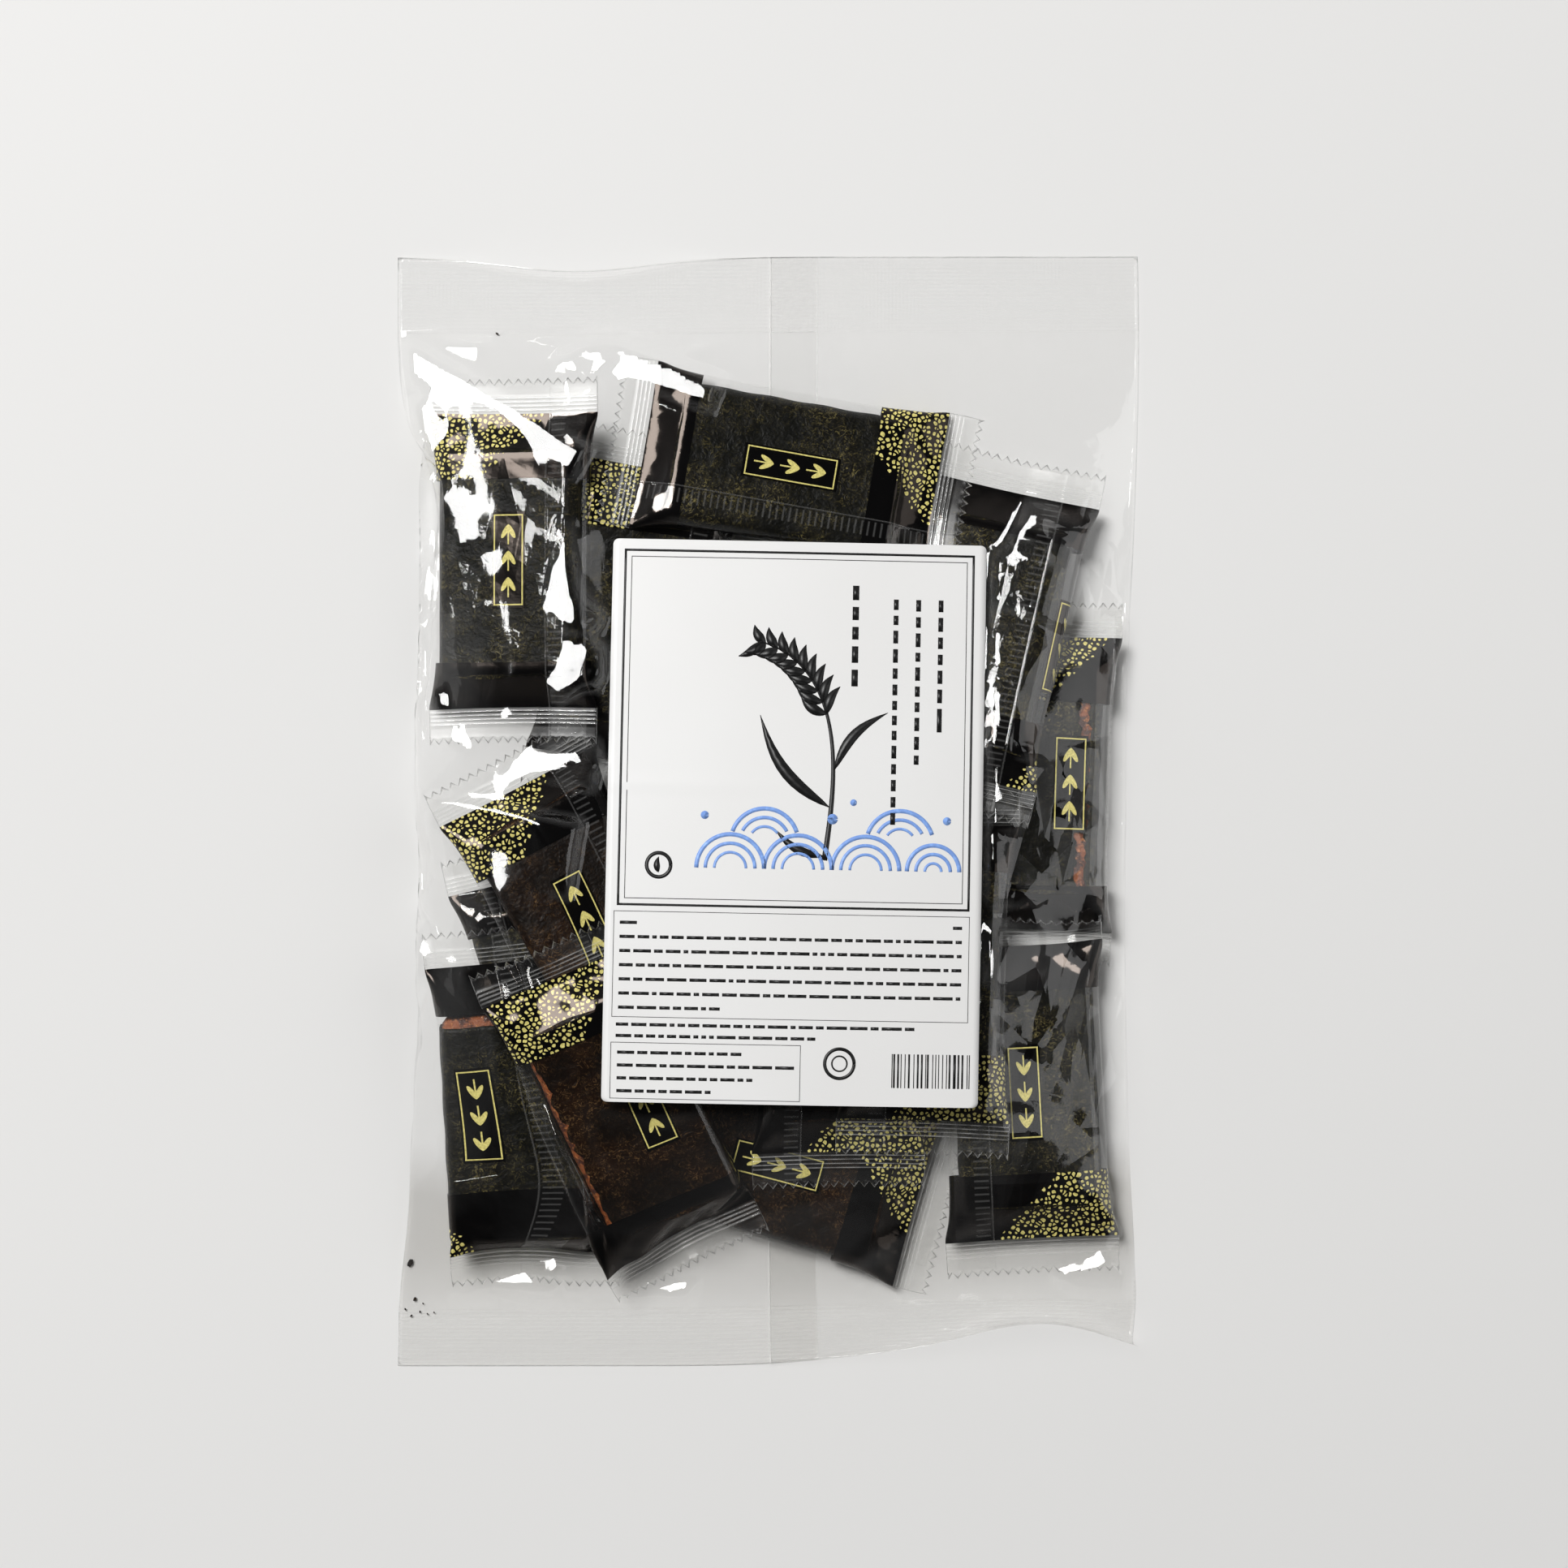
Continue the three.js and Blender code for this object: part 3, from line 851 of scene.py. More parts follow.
def clear_film(nodes, tint, roughness, normal=None, least=0.08):
    """Clear film that mirrors more the flatter one looks along it, with both its faces as one."""
    facing = nodes.add("LayerWeight", {"Blend": 0.5})
    glossy = nodes.add("BsdfGlossy", {"Color": (1, 1, 1, 1), "Roughness": roughness})
    if normal is not None:
        nodes.feed(facing.inputs["Normal"], normal)
        nodes.feed(glossy.inputs["Normal"], normal)
    grazing = nodes.math("POWER", facing.outputs["Facing"], 5.0)
    mirror_part = nodes.math("MULTIPLY_ADD", grazing, 1 - least, least)
    clear = nodes.add("BsdfTransparent", {"Color": tint})
    film = nodes.mix_shader(mirror_part, clear.outputs[0], glossy.outputs[0])
    shadow = nodes.add("LightPath").outputs["Is Shadow Ray"]
    lit = nodes.add("BsdfTransparent", {"Color": (0.982, 0.982, 0.982, 1)})
    return nodes.mix_shader(shadow, film, lit.outputs[0])


def print_places(nodes):
    places = nodes.add("UVMap", uv_map="print")
    parts = nodes.add("SeparateXYZ", {"Vector": places.outputs[0]})
    return places.outputs[0], parts.outputs[0], parts.outputs[1]


def wrap_material(colours, sizes):
    """Clear film with black ends, a corner of gold pebbles and a framed black plate in the middle."""
    nodes = Nodes("printed_wrap_film")
    places, s, t = print_places(nodes)
    half = sizes.print_length / MM / 2
    plain = nodes.inside(-half, t, -half + PLAIN_END)
    golden = nodes.inside(half - GOLD_CORNER, t, half)
    across = nodes.math("ABSOLUTE", s)
    along = nodes.math("ABSOLUTE", t)
    plate = nodes.both(nodes.math("LESS_THAN", across, PLATE_HALF[0]),
                       nodes.math("LESS_THAN", along, PLATE_HALF[1]))
    on_film = nodes.math("LESS_THAN", across, FIN_MAP / 2)
    black = nodes.both(nodes.either(plain, golden, plate), on_film)

    # The pebbles: rounded cells of uneven size, left of a slanting border.
    waved = nodes.add("TexNoise", {"Vector": places, "Scale": 0.5, "Detail": 1.0})
    bent = nodes.add("VectorMath", {0: waved.outputs["Color"], 1: (0.5, 0.5, 0.5)}, operation="SUBTRACT")
    bent = nodes.add("VectorMath", {0: bent.outputs[0], "Scale": 0.9}, operation="SCALE")
    bent = nodes.add("VectorMath", {0: places, 1: bent.outputs[0]}, operation="ADD").outputs[0]
    cells = nodes.add("TexVoronoi", {"Vector": bent, "Scale": 0.70, "Randomness": 0.95},
                      voronoi_dimensions="2D", feature="DISTANCE_TO_EDGE")
    centres = nodes.add("TexVoronoi", {"Vector": bent, "Scale": 0.70, "Randomness": 0.95},
                        voronoi_dimensions="2D", feature="F1")
    shade = nodes.add("SeparateColor", {"Color": centres.outputs["Color"]})
    size = nodes.ramp(shade.outputs[0], 0.0, 1.0, 0.24, 0.50)
    pebble = nodes.both(nodes.math("GREATER_THAN", cells.outputs[0], 0.165),
                        nodes.math("LESS_THAN", centres.outputs["Distance"], size))
    fall = 18.0 / GOLD_CORNER
    border = nodes.math("MULTIPLY_ADD", t, fall, -8.5 - (half - GOLD_CORNER) * fall)
    wobble = nodes.math("MULTIPLY_ADD", shade.outputs[1], 2.4, -1.2)
    corner = nodes.math("LESS_THAN", nodes.math("ADD", s, wobble), border)
    pebble = nodes.both(pebble, corner, golden, nodes.math("GREATER_THAN", s, -27.0), on_film)

    # The plate: a thin frame round three sprigs of two grains each.
    edge = nodes.math("MAXIMUM", nodes.math("SUBTRACT", across, PLATE_HALF[0] - 0.65),
                      nodes.math("SUBTRACT", along, PLATE_HALF[1] - 0.9))
    rim = nodes.math("LESS_THAN", nodes.math("ABSOLUTE", edge), 0.18)
    step = nodes.math("SUBTRACT", nodes.math("MODULO", nodes.math("ADD", t, 10.5 + 70.0), 7.0), 3.5)
    slant = nodes.math("MULTIPLY", across, 0.75)
    long_way = nodes.math("SUBTRACT", step, slant)
    short_way = nodes.math("ADD", nodes.math("MULTIPLY", step, 0.6), nodes.math("SUBTRACT", across, 1.15))
    grain = nodes.math("ADD", nodes.math("POWER", nodes.math("DIVIDE", long_way, 2.6), 2.0),
                       nodes.math("POWER", nodes.math("DIVIDE", short_way, 0.75), 2.0))
    grain = nodes.math("LESS_THAN", grain, 1.0)
    stalk = nodes.both(nodes.math("LESS_THAN", across, 0.2), nodes.inside(-2.9, step, 1.4))
    sprig = nodes.both(nodes.either(grain, stalk), nodes.math("LESS_THAN", along, 10.4),
                       nodes.math("LESS_THAN", across, 3.0))
    gold = nodes.either(pebble, rim, sprig)

    tone = nodes.noise(places, 1.6, 2.0)
    gold_shade = nodes.blend(nodes.ramp(tone, 0.35, 0.7), tuple(colours.gold),
                             (0.50, 0.44, 0.13, 1.0))
    ink_colour = nodes.blend(gold, tuple(colours.black), gold_shade)

    height = nodes.total((nodes.crumple(places, 12.0, 20, "MANHATTAN"), 0.016),
                         (nodes.crumple(places, 5.5, -35, "CHEBYCHEV"), 0.010),
                         (nodes.noise(places, 0.3, 2.0), 0.03))
    normal = nodes.bump(height)
    ink = nodes.add("BsdfPrincipled", {
        "Base Color": ink_colour, "Roughness": 0.12, "IOR": 1.5, "Specular IOR Level": 0.42,
        "Specular Tint": (1.0, 0.84, 0.74, 1.0), "Normal": normal})

    # The film is whitened where its crimps, its long seal's ticks and its cut edges are: partly its own
    # frosting, partly painted highlights of the bright lines that these ridges catch.
    crimp = nodes.math("PINGPONG", nodes.math("SUBTRACT", along, half + FIRST_CRIMP), CRIMP_PITCH / 2)
    crimp = nodes.both(nodes.ramp(crimp, 0.0, 0.2, 1.0, 0.0), nodes.inside(half + 0.5, along, half + 4.6))
    tick = nodes.math("PINGPONG", t, TICK_PITCH / 2)
    tick = nodes.both(nodes.ramp(tick, 0.1, 0.35, 1.0, 0.0), nodes.inside(FIN_MAP + 0.9, s, FIN_MAP + 4.8))
    base = nodes.both(nodes.line(s, FIN_MAP + 0.25, 0.25), nodes.ramp(tick, 0.0, 1.0, 0.6, 1.0))
    patchiness = nodes.ramp(nodes.noise(places, 0.3, 2.0), 0.35, 0.6, 0.2, 1.0)
    frost_and_highlight_mask = nodes.either(nodes.both(crimp, patchiness), nodes.math("MULTIPLY", tick, 0.25),
                          nodes.math("MULTIPLY", base, 0.5))
    film = clear_film(nodes, (0.991, 0.991, 0.989, 1.0), 0.05, normal, 0.05)
    # Between their crimps the seals scatter what they mirror.
    between = nodes.both(nodes.math("GREATER_THAN", along, half), nodes.math("SUBTRACT", 1.0, crimp))
    sealed = clear_film(nodes, (0.985, 0.985, 0.982, 1.0), 0.35, normal, 0.02)
    film = nodes.mix_shader(between, film, sealed)
    # White for the crimps' frosting and for the painted highlights on them.
    frost_and_highlight_white = nodes.add("BsdfDiffuse", {"Color": (0.93, 0.93, 0.92, 1)})
    film = nodes.mix_shader(nodes.math("MULTIPLY", frost_and_highlight_mask, 0.2), film, frost_and_highlight_white.outputs[0])
    return nodes.finish(nodes.mix_shader(nodes.either(black, gold), film, ink.outputs[0]))


WEAVE_PITCH = 1.0


def bag_material(sizes):
    """Clear glossy film with a woven top seal and a ribbed bottom seal."""
    nodes = Nodes("bag_film")
    places, s, t = print_places(nodes)
    half = sizes.length / MM / 2
    top = nodes.math("GREATER_THAN", t, half - sizes.top_seal / MM)
    bottom = nodes.math("LESS_THAN", t, sizes.bottom_seal / MM - half)
    warp = nodes.math("SINE", nodes.math("MULTIPLY", s, 2 * math.pi / WEAVE_PITCH))
    weft = nodes.math("SINE", nodes.math("MULTIPLY", t, 2 * math.pi / WEAVE_PITCH))
    woven = nodes.both(nodes.math("MULTIPLY", nodes.math("ADD", warp, weft), 0.5), top)
    ribbed = nodes.both(weft, bottom)
    patches = nodes.ramp(nodes.noise(places, 0.045, 2.0), 0.42, 0.6, 0.3, 1.0)
    crimps = nodes.math("MULTIPLY", nodes.math("ADD", woven, ribbed), patches)
    drawn = nodes.ramp(nodes.noise(places, 0.022, 2.0), 0.38, 0.62, 0.35, 1.3)
    loose = nodes.both(nodes.math("SUBTRACT", 1.0, nodes.either(top, bottom)), drawn)
    # The film is crumpled harder beside the label's right edge.
    level = nodes.math("ABSOLUTE", nodes.math("ADD", t, 12.0))
    beside = nodes.both(nodes.ramp(s, 54.0, 60.0, 0.0, 2.4), nodes.ramp(level, 74.0, 88.0, 1.0, 0.0))
    beside = nodes.math("ADD", beside, 1.0)
    creased = nodes.total((nodes.crumple(places, 17.0, 28, "MANHATTAN"), 0.03),
                          (nodes.crumple(places, 8.0, -35, "CHEBYCHEV"), 0.025))
    height = nodes.total((crimps, 0.008), (nodes.both(creased, loose, beside), 1.0),
                         (nodes.noise(places, 0.12, 3.0), 0.08))
    normal = nodes.bump(height)
    # Below the contents the film lies in folds; its tint there is darker, most of all close to them:
    # painted shade of the contents.
    painted_shade = nodes.blend(nodes.ramp(t, -137.0, -120.0), (0.955, 0.953, 0.946, 1.0),
                         (0.875, 0.870, 0.860, 1.0))
    tint = nodes.blend(nodes.ramp(t, -104.0, -90.0), painted_shade, (0.993, 0.993, 0.991, 1.0))
    film = clear_film(nodes, tint, 0.08, normal, 0.06)
    # The crimps and the lap's two edges are whitened: partly the film's own frosting, partly painted
    # highlights.
    middle = sizes.width / MM
    lap = nodes.either(nodes.line(s, middle - 0.7, 0.3), nodes.line(s, LAP_MAP + 0.2, 0.3),
                       nodes.math("MULTIPLY", nodes.line(s, middle - 13.4, 0.25), 0.4))
    frost_and_highlight_mask = nodes.math("MAXIMUM", nodes.math("MULTIPLY", crimps, 0.06), nodes.math("MULTIPLY", lap, 0.4))
    frost_and_highlight_white = nodes.add("BsdfDiffuse", {"Color": (0.97, 0.97, 0.965, 1)})
    return nodes.finish(nodes.mix_shader(frost_and_highlight_mask, film, frost_and_highlight_white.outputs[0]))


def seaweed_material(food, thin=False):
    """Roasted seaweed: a dark, mottled sheet with short, curly, golden green fibres.

    A thin sheet has the brown of the crust shining through and fewer fibres.
    """
    nodes = Nodes("thin_seaweed" if thin else "roasted_seaweed")
    base, cloudy, golden, share = (
        (tuple(food.thin_seaweed), (0.015, 0.0055, 0.002, 1.0), (0.30, 0.17, 0.07, 1.0), 0.6) if thin else
        (tuple(food.seaweed), (0.007, 0.006, 0.004, 1.0), (0.23, 0.19, 0.07, 1.0), 1.0))
    cloud = nodes.own_noise(75.0, 4.0, 0.6)
    patch = nodes.own_noise(170.0, 2.0, 0.5)
    thread = nodes.own_noise(330.0, 3.0, 0.6, 1.8)
    other = nodes.own_noise(520.0, 2.0, 0.55, 2.4)
    fine = nodes.own_noise(1300.0, 2.0, 0.6)
    curls = nodes.either(
        nodes.both(nodes.line(thread, 0.5, 0.035), nodes.ramp(patch, 0.46, 0.6)),
        nodes.both(nodes.line(other, 0.52, 0.05), nodes.ramp(patch, 0.5, 0.36)))
    fibre = nodes.both(curls, nodes.ramp(cloud, 0.42, 0.62, 0.08, share),
                       nodes.ramp(fine, 0.42, 0.58, 0.25, 1.0))
    base = nodes.blend(nodes.ramp(cloud, 0.42, 0.68), base, cloudy)
    speck = nodes.both(nodes.ramp(fine, 0.62, 0.74, 0.0, 0.4 * share), nodes.ramp(cloud, 0.45, 0.6))
    base = nodes.blend(speck, base, golden)
    base = nodes.blend(fibre, base, golden)
    normal = nodes.bump(nodes.total((thread, 0.3), (cloud, 1.0), (fine, 0.05)))
    return nodes.painted({
        "Base Color": base, "Roughness": nodes.ramp(patch, 0.3, 0.7, 0.48, 0.33), "Normal": normal,
        "Specular IOR Level": 0.11})


def cracker_material(food):
    """Baked rice dough under a soy glaze: orange brown with darker patches, and lighter specks that are
    painted highlights of the glaze.
    """
    nodes = Nodes("baked_cracker")
    cloud = nodes.own_noise(320.0, 4.0, 0.6)
    grain = nodes.own_noise(1000.0, 4.0, 0.6)
    base = nodes.blend(nodes.ramp(cloud, 0.46, 0.56), tuple(food.crust), (0.06, 0.014, 0.005, 1.0))
    # Lighter specks of grain: painted highlights of the glaze.
    base = nodes.blend(nodes.ramp(grain, 0.55, 0.66), base, (0.50, 0.19, 0.055, 1.0))
    normal = nodes.bump(nodes.math("ADD", cloud, grain), 0.0006, 0.9)
    return nodes.painted({"Base Color": base, "Roughness": 0.42, "Normal": normal})


def paper_material(colours):
    """Smooth white label paper with a faint grain."""
    nodes = Nodes("label_paper")
    cloud = nodes.own_noise(18.0, 2.0)
    base = nodes.blend(nodes.ramp(cloud, 0.3, 0.7), tuple(colours.paper), (0.775, 0.772, 0.765, 1.0))
    normal = nodes.bump(nodes.own_noise(2400.0), 0.00004, 0.5)
    return nodes.painted({"Base Color": base, "Roughness": 0.42, "Normal": normal})


def ink_material(name, colour):
    """Label ink, slightly uneven."""
    nodes = Nodes(name)
    light = tuple(min(1.0, 1.5 * c + 0.012) for c in colour[:3]) + (1.0,)
    base = nodes.blend(nodes.ramp(nodes.own_noise(700.0), 0.5, 0.8), tuple(colour), light)
    return nodes.painted({"Base Color": base, "Roughness": 0.4})


# ---------------------------------------------------------------- shared state of one run

made = {}


def settings():
    scene = bpy.context.scene
    return scene.bag_sizes, scene.wrap_sizes, scene.food_sizes, scene.print_colours


def rests():
    """The frames of the wrapped crackers and the label at rest, worked out once."""
    if "rests" not in made:
        made["rests"] = [rest_of(place, state) for place, state in zip(PLACES, rest_heap())]
    return made["rests"]


# ---------------------------------------------------------------- operators: the food

class MESH_OT_rice_crackers(bpy.types.Operator):
    """Make the baked crackers, one in each wrap"""
    bl_idname = "mesh.rice_crackers"
    bl_label = "Rice Crackers"

    def execute(self, context):
        food = settings()[2]
        size = (food.width, food.length, food.thickness)
        bpy.ops.object.select_all(action="DESELECT")
        bpy.ops.mesh.primitive_cube_add(size=1, scale=size)
        blank = bpy.context.object
        bpy.ops.object.transform_apply(location=False, rotation=False, scale=True)
        apply_modifier(blank, "BEVEL", width=0.0028, segments=4)
        apply_modifier(blank, "REMESH", mode="VOXEL", voxel_size=0.00155)
        apply_modifier(blank, "SMOOTH", factor=0.5, iterations=3)
        swell = bpy.data.textures.new("cracker_swell", "CLOUDS")
        swell.noise_scale = 0.016
        crumb = bpy.data.textures.new("cracker_crumb", "CLOUDS")
        crumb.noise_scale = 0.0035
        material = cracker_material(food)
        rng = np.random.default_rng(5)
        for k, sachet in enumerate(SACHETS):
            cracker = blank.copy()
            cracker.data = blank.data.copy()
            context.scene.collection.objects.link(cracker)
            cracker.name = f"cracker_{k + 1:02d}"
            cracker.data.name = cracker.name
            points = mesh_points(cracker)
            points[:, :2] *= rng.uniform(0.975, 1.0, 2)
            away = rng.uniform(-0.5, 0.5, 3)
            give_points(cracker, points + away, unit=1.0)
            apply_modifier(cracker, "DISPLACE", texture=swell, strength=0.0011, mid_level=0.62)
            apply_modifier(cracker, "DISPLACE", texture=crumb, strength=0.0006, mid_level=0.55)
            points = mesh_points(cracker) - away
            points[:, 0] += sachet.food_at[0] * MM
            points[:, 1] += sachet.food_at[1] * MM
            give_points(cracker, keep_inside(to_world(rests()[k], points / MM), 0.65, 0.95))
            finish_piece(cracker, material)
        bpy.data.objects.remove(blank)
        return {"FINISHED"}


def section_line(half_wide, half_high, sharpness=6.0, points=400):
    """Half-way round a cracker's section and back: the length so far, and the place across and up.

    The length is 0 at the middle of the top and grows towards +u.
    """
    angle = np.linspace(math.pi / 2, math.pi / 2 - 2 * math.pi, points)
    u = half_wide * np.sign(np.cos(angle)) * np.abs(np.cos(angle)) ** (2 / sharpness)
    w = half_high * np.sign(np.sin(angle)) * np.abs(np.sin(angle)) ** (2 / sharpness)
    length = np.concatenate(([0], np.cumsum(np.hypot(np.diff(u), np.diff(w)))))
    return length, u, w


class MESH_OT_rice_seaweed(bpy.types.Operator):
    """Wrap each cracker in its sheet of roasted seaweed, which leaves the ends bare"""
    bl_idname = "mesh.rice_seaweed"
    bl_label = "Seaweed"

    def execute(self, context):
        food = settings()[2]
        materials = seaweed_material(food), seaweed_material(food, thin=True)
        rng = np.random.default_rng(8)
        length, u_line, w_line = section_line(food.width / MM / 2 + 0.35, food.thickness / MM / 2 + 0.42)
        columns, rows = 56, 44
        for k, sachet in enumerate(SACHETS):
            sheet = new_sheet(f"seaweed_{k + 1:02d}", columns, rows)
            start, stop = sachet.bare[1], sachet.bare[0] + length[-1]
            across = np.linspace(0, 1, columns + 1)
            along = np.linspace(-1, 1, rows + 1)[:, None]
            seed = rng.uniform(0, 6.28, 8)
            reach = food.length / MM / 2
            low = reach - sachet.bare_end + 0.5 * (
                np.sin(across * 19 + seed[0]) * np.sin(across * 7 + seed[1]))
            high = reach - 0.9 + 0.5 * np.sin(across * 23 + seed[2]) * np.sin(across * 9 + seed[3])
            v = along * np.where(along < 0, low, high)
            ragged = (0.8 * np.sin(v * 0.9 + seed[4]) * np.sin(v * 0.31 + seed[5])
                      + 0.5 * np.sin(v * 1.9 + seed[6]) * np.sin(v * 0.53 + seed[7])
                      + 0.25 * np.sin(v * 3.7 + seed[5]) * np.sin(v * 1.1 + seed[4]))
            spot = start + (stop - start) * across + ragged * (2 * np.abs(across - 0.5)) ** 8
            spot %= length[-1]
            u = np.interp(spot, length, u_line)
            w = np.interp(spot, length, w_line)
            crumple = 1 + 0.018 * np.sin(v * 0.45 + spot * 0.35 + seed[6]) * np.sin(spot * 0.6 + seed[7])
            points = np.stack((u * (0.5 + 0.5 * crumple) + sachet.food_at[0], v + sachet.food_at[1],
                               w * crumple), -1)
            give_points(sheet, keep_inside(to_world(rests()[k], points), 0.5, 0.75))
            apply_modifier(sheet, "SOLIDIFY", thickness=0.00014, offset=0.0)
            finish_piece(sheet, materials[sachet.thin])
        return {"FINISHED"}


# ---------------------------------------------------------------- operators: the wraps

TEETH = 17              # along the cut edge of one seal
TOOTH_COLUMNS = 4


class MESH_OT_rice_wraps(bpy.types.Operator):
    """Relax a printed film wrap round every cracker, with its end seals and its long seal"""
    bl_idname = "mesh.rice_wraps"
    bl_label = "Wraps"

    def execute(self, context):
        _, sizes, food, colours = settings()
        material = wrap_material(colours, sizes)
        film = wrap_films(rests()[:-1], sizes, food)
        rows_at, press = wrap_rows(sizes)
        length = (sizes.print_length + 2 * sizes.end_seal) / MM
        film = resample_rows(film, (rows_at + length / 2) / length * (film.shape[1] - 1))
        film = resample_ring(film, 2 * TEETH * TOOTH_COLUMNS)
        width = sizes.width / MM
        half_print = sizes.print_length / MM / 2
        ring = film.shape[2]
        normal = np.cross(np.roll(film, -1, axis=2) - np.roll(film, 1, axis=2), np.gradient(film, axis=1))
        normal /= np.linalg.norm(normal, axis=-1, keepdims=True) + 1e-9
        film[:, :, :, 2] += press[:, None]
        front = part_layers(film, np.abs(rows_at) > half_print)
        turn = np.arange(ring) / ring
        across = (0.5 - np.abs(1 - 2 * turn)) * width
        rng = np.random.default_rng(17)
        fade = np.clip((half_print - np.abs(rows_at)) / 3, 0, 1)[:, None]
        for k in range(len(SACHETS)):
            folds = wrap_creases(rng, half_print)
            film[k, :, :, 2] += creases(across, rows_at[:, None], folds) * fade * front
        tooth = np.arange(ring) % TOOTH_COLUMNS / TOOTH_COLUMNS
        cut = sizes.tooth / MM * (1 - np.abs(1 - 2 * tooth))
        film[:, 0, :, 1] += cut
        film[:, -1, :, 1] -= cut
        made["wraps"] = []
        for k, sachet in enumerate(SACHETS):
            wrap = new_sheet(f"wrap_{k + 1:02d}", ring, len(rows_at) - 1)
            tube = np.concatenate((film[k], film[k][:, :1]), axis=1)
            world = keep_inside(to_world(rests()[k], tube), 0.35, 0.5)
            give_points(wrap, world)
            made["wraps"].append(world)
            round_tube = np.linspace(0, 2 * width, ring + 1) - width / 2 - sachet.print_at
            round_tube = (sachet.print_way * round_tube + width) % (2 * width) - width
            # The print map is torn where the tube's way round starts again.
            give_print(wrap, np.unwrap(round_tube, period=2 * width), rows_at, sachet.corner)
            wrap_around(wrap, width)
            close_doubles(wrap)
            fin = self.long_seal(film[k], normal[k], k, sachet, rows_at, sizes)
            wrap = join([wrap, fin], f"wrap_{k + 1:02d}")
            finish_piece(wrap, material)
        return {"FINISHED"}

    def long_seal(self, film, normal, k, sachet, rows_at, sizes):
        """The flap of the long seal, laid flat on the wrap, its crimps pressed in."""
        width = sizes.width / MM
        ticks = np.arange(-48.0, 48.1, TICK_PITCH / 2)
        fin = sizes.fin / MM
        out = np.concatenate(((0, 0.22, 0.45), np.linspace(0.9, fin - 0.3, 9), (fin,)))
        flap = new_sheet(f"fin_{k + 1:02d}", len(out) - 1, len(ticks) - 1)
        s = sachet.fin_at + sachet.print_at + sachet.fin_way * out
        column = ((s + width / 2) % (2 * width)) / (2 * width) * film.shape[1]
        row = np.interp(ticks, rows_at, np.arange(len(rows_at)))
        points = read_tube(film, row, column)
        lean = read_tube(normal, row, column)
        lean /= np.linalg.norm(lean, axis=-1, keepdims=True) + 1e-9
        outward = np.sign((lean * points)[..., 2:3].sum() + 1e-9)
        rise = 0.2 + 0.16 * np.sin(np.pi * out / fin)
        rise[1] += 0.3
        odd = (-1.0) ** np.arange(len(ticks))[:, None]
        pressed = np.where((out > 0.5) & (out < 5), 0.06, 0.0) * odd
        pressed[:, 1] += 0.1 * odd[:, 0]
        points = points + lean * outward * (rise + pressed)[..., None]
        world = keep_inside(to_world(rests()[k], points), 0.35, 0.4)
        give_points(flap, world)
        made["wraps"].append(world)
        give_print(flap, FIN_MAP + out, ticks)
        return flap


def read_tube(tube, row, column):
    """Reads a tube of points between its rows and round its ring."""
    rows, ring = tube.shape[:2]
    r = np.clip(row, 0, rows - 1.001)[:, None]
    c = column[None, :]
    i, j = np.floor(c).astype(int), np.floor(r).astype(int)
    fc, fr = (c - i)[..., None], (r - j)[..., None]
    low = tube[j, i % ring] * (1 - fc) + tube[j, (i + 1) % ring] * fc
    high = tube[j + 1, i % ring] * (1 - fc) + tube[j + 1, (i + 1) % ring] * fc
    return low * (1 - fr) + high * fr


# ---------------------------------------------------------------- operators: the bag

BAG_COLUMNS = 160
BAG_ROWS = 240
PUFF = 0.0001            # how hard the air in the bag lifts its front at each step
SAG = 0.012              # how hard its back's weight draws it down at each step
FOLD_PULL = 0.004        # how hard the stiffness of its side folds pulls it straight
FILM_FLOOR = 0.3         # the lowest that its film comes
GLUE_MARGIN = 0.5        # how far round the label its film is held still
# The largest creases: from the top left corner over the first cracker, beside the label, and at the
# pinched corners of the wraps under the film.
BAG_FOLDS = (
    Crease(-30, 119, 22.6, 32, 6, 1.3),
    Crease(-70, 24, 8, 22, 4, 0.8),
    Crease(-56, 70, 20, 15, 4, 0.8),
    Crease(-54, 64, 132, 16, 4, 0.8),
    Crease(88, 118, 15, 14, 4, 0.9),
    Crease(88, -120, 24, 16, 5, 1.4),
    Crease(-20, -122, -14, 22, 4, 1.0),
    Crease(-70, -124, 8, 18, 4, 0.8),
    Crease(30, -118, 32, 18, 5, 1.0),
)
